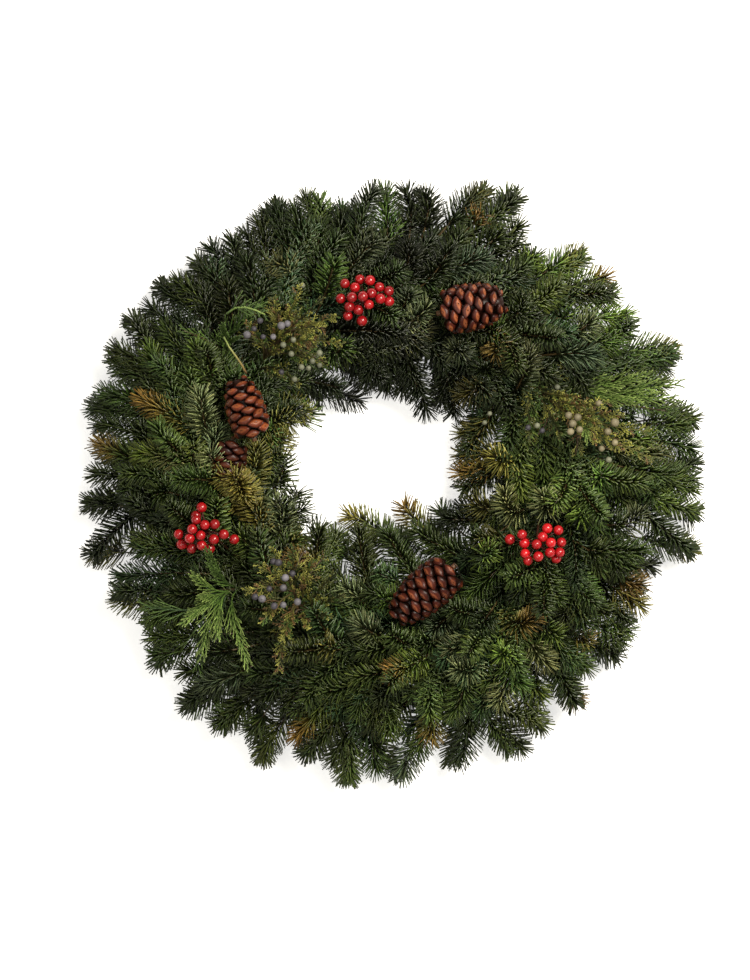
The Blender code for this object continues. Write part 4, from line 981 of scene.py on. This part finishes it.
def cone_scales(growth, base, tip, radius, n, colours, rng):
    """Scales in golden-angle spirals: lozenges that widen from the core and end in a ridged boss.

    Corner k of a station is side * wide * c(k) + ahead * high * s(k) + out * depth, where c and s
    are the cosine and sine raised to a power that squares the lozenge's sides.
    """
    length = float(np.linalg.norm(tip - base))
    along = unit(tip - base)
    grid = np.linspace(0, 1, 200)
    spread = np.cumsum(cone_shape(grid) + 0.12)
    share = np.interp((np.arange(n) + 0.5) / n, spread / spread[-1], grid)
    shape = cone_shape(share)
    lift, across = cross_frame(along)
    turn = np.arange(n) * GOLDEN
    out = lift * np.cos(turn)[:, None] + across * np.sin(turn)[:, None]
    side = np.cross(along, out)
    tilt = np.radians(32 + 30 * np.clip((share - 0.72) / 0.28, 0, 1)
                      - 56 * np.clip((0.18 - share) / 0.18, 0, 1) + rng.normal(0, 7, n))
    normal = unit(out * np.cos(tilt)[:, None] + along * np.sin(tilt)[:, None])
    ahead = np.cross(normal, side) * -1
    ahead = ahead * np.sign((ahead * along).sum(1))[:, None]
    skew = rng.normal(0, 0.14, n)[:, None]
    side, ahead = side * np.cos(skew) + ahead * np.sin(skew), ahead * np.cos(skew) - side * np.sin(skew)
    area = math.tau * radius * length * 0.86 / n
    size = math.sqrt(0.88 * area / (2.2 * SCALE_RATIO)) * (0.55 + 0.45 * shape) * rng.uniform(0.88, 1.08, n)
    shaded_rim, face, boss, point, broad = colours
    # The core's and the rim's near-black colours are painted shade in the gaps between the scales
    paint = {"core": (0.012, 0.003, 0.002), "shaded_rim": shaded_rim, "face": face, "boss": boss, "point": point}
    middle = base + along * (share * length)[:, None] + out * (radius * 0.92 * shape)[:, None]
    corners = 10
    a = (np.arange(corners) + 0.5) * math.tau / corners
    squared = 1.45
    c = np.sign(np.cos(a)) * np.abs(np.cos(a)) ** squared
    s = np.sign(np.sin(a)) * np.abs(np.sin(a)) ** squared
    rings = []
    shades = []
    depth_draw = np.exp(rng.normal(0, 0.20, n))[:, None, None]
    for depth, wide, high, part in SCALE_STATIONS:
        if part in ("boss", "point"):
            wide, high = wide * broad, high * broad
        inward = normal if depth > -0.2 else unit(normal + out * 0.4 + along * 0.35)
        heart = middle + inward * (depth * radius * (0.35 + 0.65 * shape))[:, None]
        ring = (heart[:, None]
                + side[:, None] * (size * wide)[:, None, None] * c[:, None]
                + ahead[:, None] * (size * high * SCALE_RATIO)[:, None, None] * s[:, None])
        rings.append(ring)
        shades.append(np.broadcast_to(np.array(paint[part]), ring.shape) * depth_draw)
    points = np.stack(rings, 1)
    shades = np.stack(shades, 1)
    stations = len(SCALE_STATIONS)
    k = np.arange(corners)
    d = (k + 1) % corners
    faces = []
    for r in range(stations - 1):
        low, high = r * corners, (r + 1) * corners
        faces += [np.stack((low + k, low + d, high + d), -1), np.stack((low + k, high + d, high + k), -1)]
    last = (stations - 1) * corners
    fan = np.arange(1, corners - 1)
    faces.append(np.stack((np.zeros_like(fan), fan + 1, fan), -1))
    faces.append(np.stack((np.full_like(fan, last), last + fan, last + fan + 1), -1))
    faces = np.vstack(faces)
    if np.cross(side[0], ahead[0]) @ normal[0] < 0:
        faces = faces[:, ::-1]
    faces = np.arange(n)[:, None, None] * stations * corners + faces
    growth.add(points.reshape(-1, 3), faces.reshape(-1, 3), shades.reshape(-1, 3))
    # The heart's near-black colour is painted shade, seen through the gaps between the scales
    heart = base + along * (np.linspace(0, 0.97, 12) * length)[:, None]
    core = tuple(radius * 0.58 * cone_shape(np.linspace(0, 0.97, 12)))
    growth.tube(heart, core, (0.014, 0.004, 0.002), 10, 12)
    stalk = np.array((base - along * STALK_LENGTH, base + along * 4 * MM))
    growth.tube(stalk, (2.4 * MM, 2.6 * MM), (0.10, 0.05, 0.025), 8, 3)


def cone_finish(nodes, links, shader):
    """Dry varnished-looking scales: the piece's own colours, fine grain and a soft gloss."""
    tint = add_node(nodes, "ShaderNodeAttribute", attribute_name="tint")
    coords = add_node(nodes, "ShaderNodeTexCoord")
    grain = add_node(nodes, "ShaderNodeTexNoise", Scale=420.0, Detail=3.0)
    links.new(coords.outputs["Object"], grain.inputs["Vector"])
    level = add_node(nodes, "ShaderNodeMapRange", To_Min=0.70, To_Max=1.30)
    links.new(grain.outputs["Fac"], level.inputs["Value"])
    mix = add_node(nodes, "ShaderNodeVectorMath", operation="SCALE")
    links.new(tint.outputs["Color"], mix.inputs[0])
    links.new(level.outputs["Result"], mix.inputs["Scale"])
    links.new(mix.outputs["Vector"], shader.inputs["Base Color"])
    bump = add_node(nodes, "ShaderNodeBump", Strength=0.25, Distance=0.0004)
    links.new(grain.outputs["Fac"], bump.inputs["Height"])
    links.new(bump.outputs["Normal"], shader.inputs["Normal"])
    shader.inputs["Roughness"].default_value = 0.38
    shader.inputs["Specular IOR Level"].default_value = 0.22


def berry_finish(nodes, links, shader):
    """Lacquered berries: the piece's own red with faint mottling under a clear coat."""
    tint = add_node(nodes, "ShaderNodeAttribute", attribute_name="tint")
    coords = add_node(nodes, "ShaderNodeTexCoord")
    mottle = add_node(nodes, "ShaderNodeTexNoise", Scale=260.0, Detail=2.0)
    links.new(coords.outputs["Object"], mottle.inputs["Vector"])
    level = add_node(nodes, "ShaderNodeMapRange", To_Min=0.82, To_Max=1.16)
    links.new(mottle.outputs["Fac"], level.inputs["Value"])
    mix = add_node(nodes, "ShaderNodeVectorMath", operation="SCALE")
    links.new(tint.outputs["Color"], mix.inputs[0])
    links.new(level.outputs["Result"], mix.inputs["Scale"])
    links.new(mix.outputs["Vector"], shader.inputs["Base Color"])
    shader.inputs["Roughness"].default_value = 0.26
    shader.inputs["Specular IOR Level"].default_value = 0.42
    shader.inputs["Coat Weight"].default_value = 0.25
    shader.inputs["Coat Roughness"].default_value = 0.10


def scale_finish(nodes, links, shader):
    """Scale leaves and bloomed berries: the piece's own colours under dusty flecks, nearly matt."""
    needle_finish(nodes, links, shader)
    shader.inputs["Roughness"].default_value = 0.55
    shader.inputs["Specular IOR Level"].default_value = 0.4


def enamel_finish(nodes, links, shader):
    """Dark green enamel on the wire ring, chipped and dusty in places."""
    coords = add_node(nodes, "ShaderNodeTexCoord")
    wear = add_node(nodes, "ShaderNodeTexNoise", Scale=90.0, Detail=4.0)
    links.new(coords.outputs["Object"], wear.inputs["Vector"])
    ramp = add_node(nodes, "ShaderNodeValToRGB")
    ramp.color_ramp.elements[0].position = 0.40
    ramp.color_ramp.elements[0].color = (0.012, 0.040, 0.020, 1)
    ramp.color_ramp.elements[1].position = 0.72
    ramp.color_ramp.elements[1].color = (0.060, 0.085, 0.060, 1)
    links.new(wear.outputs["Fac"], ramp.inputs["Fac"])
    links.new(ramp.outputs["Color"], shader.inputs["Base Color"])
    shader.inputs["Metallic"].default_value = 0.2
    shader.inputs["Roughness"].default_value = 0.38


def tie_finish(nodes, links, shader):
    """Annealed wire: grey brown, a little uneven."""
    coords = add_node(nodes, "ShaderNodeTexCoord")
    wear = add_node(nodes, "ShaderNodeTexNoise", Scale=300.0, Detail=2.0)
    links.new(coords.outputs["Object"], wear.inputs["Vector"])
    ramp = add_node(nodes, "ShaderNodeValToRGB")
    ramp.color_ramp.elements[0].color = (0.080, 0.065, 0.050, 1)
    ramp.color_ramp.elements[1].color = (0.260, 0.235, 0.200, 1)
    links.new(wear.outputs["Fac"], ramp.inputs["Fac"])
    links.new(ramp.outputs["Color"], shader.inputs["Base Color"])
    shader.inputs["Metallic"].default_value = 0.9
    shader.inputs["Roughness"].default_value = 0.42


class WREATH_OT_ring(bpy.types.Operator):
    """Finish the wire ring and the cones' wires"""

    bl_idname = "wreath.ring"
    bl_label = "Ring and Wires"

    def execute(self, context):
        """Gives the solids that show as they are their enamel and their bare wire."""
        for name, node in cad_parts.items():
            if name == "clamp_ring":
                finish = make_material("ring_enamel", enamel_finish)
            elif name.startswith("cone_wire"):
                finish = make_material("cone_tie_wire", tie_finish)
            else:
                continue
            node.data.materials.clear()
            node.data.materials.append(finish)
        return {"FINISHED"}


class WREATH_OT_outer_sprays(bpy.types.Operator):
    """Grow the sprays that make the outline"""

    bl_idname = "wreath.outer_sprays"
    bl_label = "Outer Sprays"

    def execute(self, context):
        """Dresses the three tips of each bunch, and shoots between them."""
        rows = face_rows()["outer"]
        for bunch in range(CLAMPS):
            rng = np.random.default_rng(100 + bunch)
            growth = Growth()
            heights = OUTER_HEIGHTS[bunch % len(OUTER_HEIGHTS)]
            tips = []
            for i, height in ((1, heights[0]), (0, heights[1]), (2, heights[2])):
                angle, reach = OUTER_TIPS[3 * bunch + i]
                tips.append(clock(angle, reach * MM - 12 * MM, height * MM))
            whole, curve = leader_path(bunch, "outer", tips[0])
            shoot(growth, whole, "fir", rng, 0.45, density=0.8, broad=1.3)
            for fork, tip in zip(OUTER_FORKS, (tips[2], tips[1])):
                path = side_path(curve, 0.26 + 0.74 * fork, tip)
                shoot(growth, path, "shaded_fir", rng, 0.2, density=0.8, broad=1.3)
            for row in rows.get(bunch, ()):
                face_shoot(growth, bunch, "outer", row, rng)
            filler_shoots(growth, bunch, "outer", rng, 9, 208, 259, 16, 34)
            filler_shoots(growth, bunch, "outer", rng, 8, 185, 256, 44, 66, 0.34, 2.1)
            name = f"outer_spray_{bunch + 1:02d}"
            make_piece(name, growth, fir_finish(), (f"fir_outer_{bunch + 1:02d}",))
        return {"FINISHED"}


class WREATH_OT_front_sprays(bpy.types.Operator):
    """Grow the sprays that cover the face"""

    bl_idname = "wreath.front_sprays"
    bl_label = "Front Sprays"

    def execute(self, context):
        """Dresses each leader and its two side shoots, and the shoots that show on the face."""
        rows = face_rows()["front"]
        for bunch in range(CLAMPS):
            rng = np.random.default_rng(200 + bunch)
            growth = Growth()
            swing, reach, height, inside = FRONT_TIPS[bunch]
            slot = "berry" if bunch in UNDER_JUNIPER else "front"
            angle = clamp_angle(bunch) + swing
            tip = clock(angle, reach * MM, height * MM)
            outward = clock(angle - 9, (reach + 36) * MM, (height - 20) * MM)
            inward = clock(angle - 1, (reach - inside) * MM, (height - 12) * MM)
            whole, curve = leader_path(bunch, slot, tip)
            shoot(growth, whole, "fir", rng, 0.35, density=0.7, broad=1.3)
            for fork, end in zip(FRONT_FORKS, (outward, inward)):
                path = side_path(curve, 0.07 + 0.93 * fork, end)
                shoot(growth, path, "fir", rng, 0.1, density=0.7, broad=1.3)
            for row in rows.get(bunch, ()):
                face_shoot(growth, bunch, slot, row, rng)
            filler_shoots(growth, bunch, slot, rng, 10, 125, 222, 20, 44)
            filler_shoots(growth, bunch, slot, rng, 8, 112, 222, 44, 74, 0.34, 2.1)
            name = f"front_spray_{bunch + 1:02d}"
            make_piece(name, growth, fir_finish(), (f"fir_front_{bunch + 1:02d}",))
        return {"FINISHED"}


class WREATH_OT_inner_sprays(bpy.types.Operator):
    """Grow the sprays that edge the hole"""

    bl_idname = "wreath.inner_sprays"
    bl_label = "Inner Sprays"

    def execute(self, context):
        """Dresses each leader and its low shoot, and the shoots that show at the hole's edge."""
        rows = face_rows()["inner"]
        for bunch in range(CLAMPS):
            rng = np.random.default_rng(300 + bunch)
            growth = Growth()
            angle = clamp_angle(bunch) + INNER_SWING
            tip = clock(angle, edge_of_hole(angle) + 12 * MM, 50 * MM)
            angle = clamp_angle(bunch) + LOW_SWING
            low = clock(angle, edge_of_hole(angle) + 18 * MM, 26 * MM)
            whole, curve = leader_path(bunch, "inner", tip)
            # The darkest fir tone: painted shade at the hole's edge
            shoot(growth, whole, "shaded_fir", rng, 0.3)
            shoot(growth, side_path(curve, 0.30, low), "shaded_fir", rng, 0.1, broad=1.3)
            for row in rows.get(bunch, ()):
                face_shoot(growth, bunch, "inner", row, rng)
            filler_shoots(growth, bunch, "inner", rng, 4, 112, 140, 10, 34)
            name = f"inner_spray_{bunch + 1:02d}"
            make_piece(name, growth, fir_finish(), (f"fir_inner_{bunch + 1:02d}",))
        return {"FINISHED"}


class WREATH_OT_juniper(bpy.types.Operator):
    """Grow the juniper sprays and their berries"""

    bl_idname = "wreath.juniper"
    bl_label = "Juniper"

    def execute(self, context):
        """Dresses each leader and side shoot with scaly branchlets and sets berries among them."""
        for seed, (name, (bunch, swing, reach, height, sides)) in enumerate(JUNIPERS.items()):
            rng = np.random.default_rng(400 + seed)
            growth = Growth()
            tip = clock(clamp_angle(bunch) + swing, reach * MM, height * MM)
            whole, curve = leader_path(bunch, "front", tip)
            growth.tube(whole, (1.9 * MM, 1.5 * MM, 0.9 * MM), BARK)
            paths = [curve[8:]]
            for i, (turn, length) in enumerate(sides):
                end = side_tip(curve, 0.36 + 0.13 * i, turn, length * MM)
                end[2] = min(end[2], 94 * MM)
                path = side_path(curve, 0.40 + 0.12 * i, end)
                growth.tube(path, (1.4 * MM, 0.8 * MM), BARK)
                paths.append(path)
            tones = ["juniper"] * len(paths)
            for share, px, py, high, tone in JUNIPER_STRANDS[name]:
                end = np.array((*on_wreath(px, py), (high + JUNIPER_LIFT) * MM))
                path = side_path(curve, share, end, 0.30)
                growth.tube(path, (1.2 * MM, 0.6 * MM), BARK, end_colour=TONES[tone][0])
                paths.append(path)
                tones.append(tone)
            for path, tone in zip(paths, tones):
                branchlets(growth, path, 0.30, 2.5 * MM, 15 * MM, 46, 0.6, JUNIPER_MIX[tone], rng,
                           0.62 * MM, 0.34, 4)
            spots = JUNIPER_BERRIES[name]
            centres = np.array([(*on_wreath(px, py), high * MM) for px, py, high, _, _ in spots])
            radii = np.array([wide * MM for *_, wide, _ in spots])
            bloom = np.array([BLOOM[kind] for *_, kind in spots])
            bloom = bloom * np.exp(rng.normal(0, 0.15, len(spots)))[:, None]
            growth.balls(centres, radii, bloom, 0.3, rng)
            make_piece(f"juniper_spray_{name}", growth, make_material("juniper_scales", scale_finish),
                       (f"juniper_{name}",))
        return {"FINISHED"}


class WREATH_OT_cedar(bpy.types.Operator):
    """Grow the flat cedar fans"""

    bl_idname = "wreath.cedar"
    bl_label = "Cedar"

    def execute(self, context):
        """Dresses each leader and strand with flat side twigs."""
        for seed, (name, (bunch, swing, reach, height, sides)) in enumerate(CEDARS.items()):
            rng = np.random.default_rng(500 + seed)
            growth = Growth()
            tip = clock(clamp_angle(bunch) + swing, reach * MM, height * MM)
            whole, curve = leader_path(bunch, "fan", tip)
            growth.tube(whole, (1.9 * MM, 1.4 * MM, 0.8 * MM), BARK)
            paths = [curve[10:]]
            for i, (turn, length) in enumerate(sides):
                end = side_tip(curve, 0.40 + 0.13 * i, turn, length * MM, drop=0.12 * length * MM)
                path = side_path(curve, 0.42 + 0.12 * i, end, 0.25)
                growth.tube(path, (1.2 * MM, 0.7 * MM), TONES["lit_fir"][0])
                paths.append(path)
            tones = ["shaded_cedar"] * len(paths)
            for share, px, py, high, tone in CEDAR_STRANDS[name]:
                end = np.array((*on_wreath(px, py), high * MM))
                path = side_path(curve, share, end, 0.30)
                growth.tube(path, (1.0 * MM, 0.6 * MM), TONES[tone][0], end_colour=TONES[tone][1])
                paths.append(path)
                tones.append(tone)
            for path, tone in zip(paths, tones):
                branchlets(growth, path, 0.20, 4.6 * MM, 28 * MM, 23, 0.2, (tone,), rng, 0.80 * MM, 0.05, 2)
            for spots, tone in CEDAR_CURLS.get(name, ()):
                knots = [np.array((*on_wreath(px, py), high * MM)) for px, py, high in spots]
                path = cubic(*knots)
                growth.tube(path, (1.2 * MM, 0.8 * MM), TONES[tone][1], end_colour=TONES["cedar"][1])
                if tone != "rust":
                    branchlets(growth, path, 0.15, 3.4 * MM, 16 * MM, 44, 0.2, (tone,), rng,
                               0.75 * MM, 0.1, 2)
            make_piece(f"cedar_fan_{name}", growth, make_material("cedar_scales", scale_finish),
                       (f"cedar_{name}",))
        return {"FINISHED"}


class WREATH_OT_pinecones(bpy.types.Operator):
    """Build the pinecones scale by scale"""

    bl_idname = "wreath.pinecones"
    bl_label = "Pinecones"

    def execute(self, context):
        """Builds each cone between the base and tip of its solid."""
        for seed, (name, (base, tip, radius)) in enumerate(CONES.items()):
            rng = np.random.default_rng(600 + seed)
            growth = Growth()
            cone_scales(growth, place(base), place(tip), radius * MM, SCALES[name], SCALE_COLOURS[name], rng)
            make_piece(f"cone_scales_{name}", growth, make_material("cone_scales", cone_finish),
                       (f"pinecone_{name}",), smooth=True)
        return {"FINISHED"}


class WREATH_OT_berries(bpy.types.Operator):
    """Set the red berry clusters"""

    bl_idname = "wreath.berries"
    bl_label = "Red Berries"

    def execute(self, context):
        """Sets round berries in the places of the solids' and joins them to their pick."""
        red = np.array(settings().berry_colour)
        for seed, (name, (centre, half_widths, bunch, draw, painted_cluster_light)) in enumerate(CLUSTERS.items()):
            rng = np.random.default_rng(700 + seed)
            growth = Growth()
            middle = place(centre)
            spots = np.array(berry_places(middle, half_widths, BERRY_SPOTS[name], draw))
            hub = middle - UP * PICK_DEPTH
            whole, _ = leader_path(bunch, "berry", hub)
            stem = np.vstack((whole, hub + UP * 12 * MM))
            growth.tube(stem, (1.6 * MM, 1.5 * MM, 1.2 * MM), (0.05, 0.02, 0.012))
            for i, spot in enumerate(spots):
                foot = hub + UP * (4 + 0.7 * i) * MM * 0.8
                stalk = bend(foot, foot + UP * 8 * MM, spot, 8)
                growth.tube(stalk, (0.8 * MM, 0.7 * MM), (0.06, 0.012, 0.010), 4, 5)
            # Top and left clusters darkened as painted shade, the right one lightened as painted light; each
            # berry a random tone
            shade = red * painted_cluster_light * rng.uniform(0.65, 1.15, len(spots))[:, None]
            growth.balls(spots, BERRY_RADIUS * rng.uniform(0.94, 1.04, len(spots)), shade, 0.12, rng, 14, 20)
            make_piece(f"berry_cluster_{name}", growth, make_material("berry_lacquer", berry_finish),
                       (f"berries_{name}",), smooth=True)
        return {"FINISHED"}


class WREATH_OT_stage(bpy.types.Operator):
    """Set the floor, the light and the camera"""

    bl_idname = "wreath.stage"
    bl_label = "Stage"

    def execute(self, context):
        """Lays a plain floor, hangs a key and a fill, and looks straight down from far away."""
        floor = bpy.data.meshes.new("floor")
        wide = 4.0
        floor.from_pydata([(-wide, -wide, 0), (wide, -wide, 0), (wide, wide, 0), (-wide, wide, 0)],
                          [], [(0, 1, 2, 3)])
        ground = bpy.data.objects.new("floor", floor)
        floor.materials.append(make_material("floor_paper", self.paper))
        context.scene.collection.objects.link(ground)
        self.lamp("key", (0.95, 0.80, 2.10), 1.1, 97.0)
        self.lamp("fill", (-0.8, -0.6, 2.4), 1.8, 20.0)
        world = bpy.data.worlds.new("studio")
        world.use_nodes = True
        world.node_tree.nodes["Background"].inputs["Color"].default_value = (1.0, 0.97, 0.90, 1)
        world.node_tree.nodes["Background"].inputs["Strength"].default_value = 0.34
        context.scene.world = world
        lens = bpy.data.cameras.new("camera")
        middle = on_wreath(PHOTO_SIZE[0] / 2, PHOTO_SIZE[1] / 2)
        far = 12.0
        lens.sensor_width = 36.0
        lens.lens = far * lens.sensor_width / (PHOTO_SIZE[1] * PIXEL)
        camera = bpy.data.objects.new("camera", lens)
        camera.location = (CENTRE[0] + middle[0], CENTRE[1] + middle[1], far)
        context.scene.collection.objects.link(camera)
        context.scene.camera = camera
        context.scene.view_settings.view_transform = "Standard"
        return {"FINISHED"}

    @staticmethod
    def paper(nodes, links, shader):
        """Plain matt paper."""
        shader.inputs["Base Color"].default_value = (*settings().floor_colour, 1)
        shader.inputs["Roughness"].default_value = 0.9
        shader.inputs["Emission Color"].default_value = (1, 1, 1, 1)
        shader.inputs["Emission Strength"].default_value = 0.55

    @staticmethod
    def lamp(name, place, size, power):
        """A square soft light that looks at the ring's centre."""
        light = bpy.data.lights.new(name, "AREA")
        light.size = size
        light.energy = power
        light.color = (1.0, 0.95, 0.84)
        made = bpy.data.objects.new(name, light)
        spot = np.array(place) + CENTRE
        made.location = spot
        made.rotation_mode = "QUATERNION"
        made.rotation_quaternion = Vector(CENTRE - spot).to_track_quat("-Z", "Y")
        bpy.context.scene.collection.objects.link(made)


class WREATH_PT_panel(bpy.types.Panel):
    """Lists the wreath's operators in the sidebar"""

    bl_idname = "WREATH_PT_panel"
    bl_label = "Wreath"
    bl_space_type = "VIEW_3D"
    bl_region_type = "UI"
    bl_category = "Wreath"

    def draw(self, context):
        """Draws the settings and a button for each operator."""
        layout = self.layout
        for name in WreathSettings.__annotations__:
            layout.prop(context.scene.wreath_settings, name)
        for made in OPERATORS:
            layout.operator(made.bl_idname)


OPERATORS = (
    WREATH_OT_ring,
    WREATH_OT_outer_sprays,
    WREATH_OT_front_sprays,
    WREATH_OT_inner_sprays,
    WREATH_OT_juniper,
    WREATH_OT_cedar,
    WREATH_OT_pinecones,
    WREATH_OT_berries,
    WREATH_OT_stage,
)
CLASSES = (WreathSettings, *OPERATORS, WREATH_PT_panel)


def register():
    """Registers the classes and the scene's settings."""
    for made in CLASSES:
        bpy.utils.register_class(made)
    bpy.types.Scene.wreath_settings = bpy.props.PointerProperty(type=WreathSettings)


def unregister():
    """Takes the settings and the classes out again."""
    del bpy.types.Scene.wreath_settings
    for made in reversed(CLASSES):
        bpy.utils.unregister_class(made)


def main():
    """Builds the visual model."""
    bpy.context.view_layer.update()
    register()
    for made in OPERATORS:
        family, name = made.bl_idname.split(".")
        getattr(getattr(bpy.ops, family), name)()


if __name__ == "__main__":
    main()
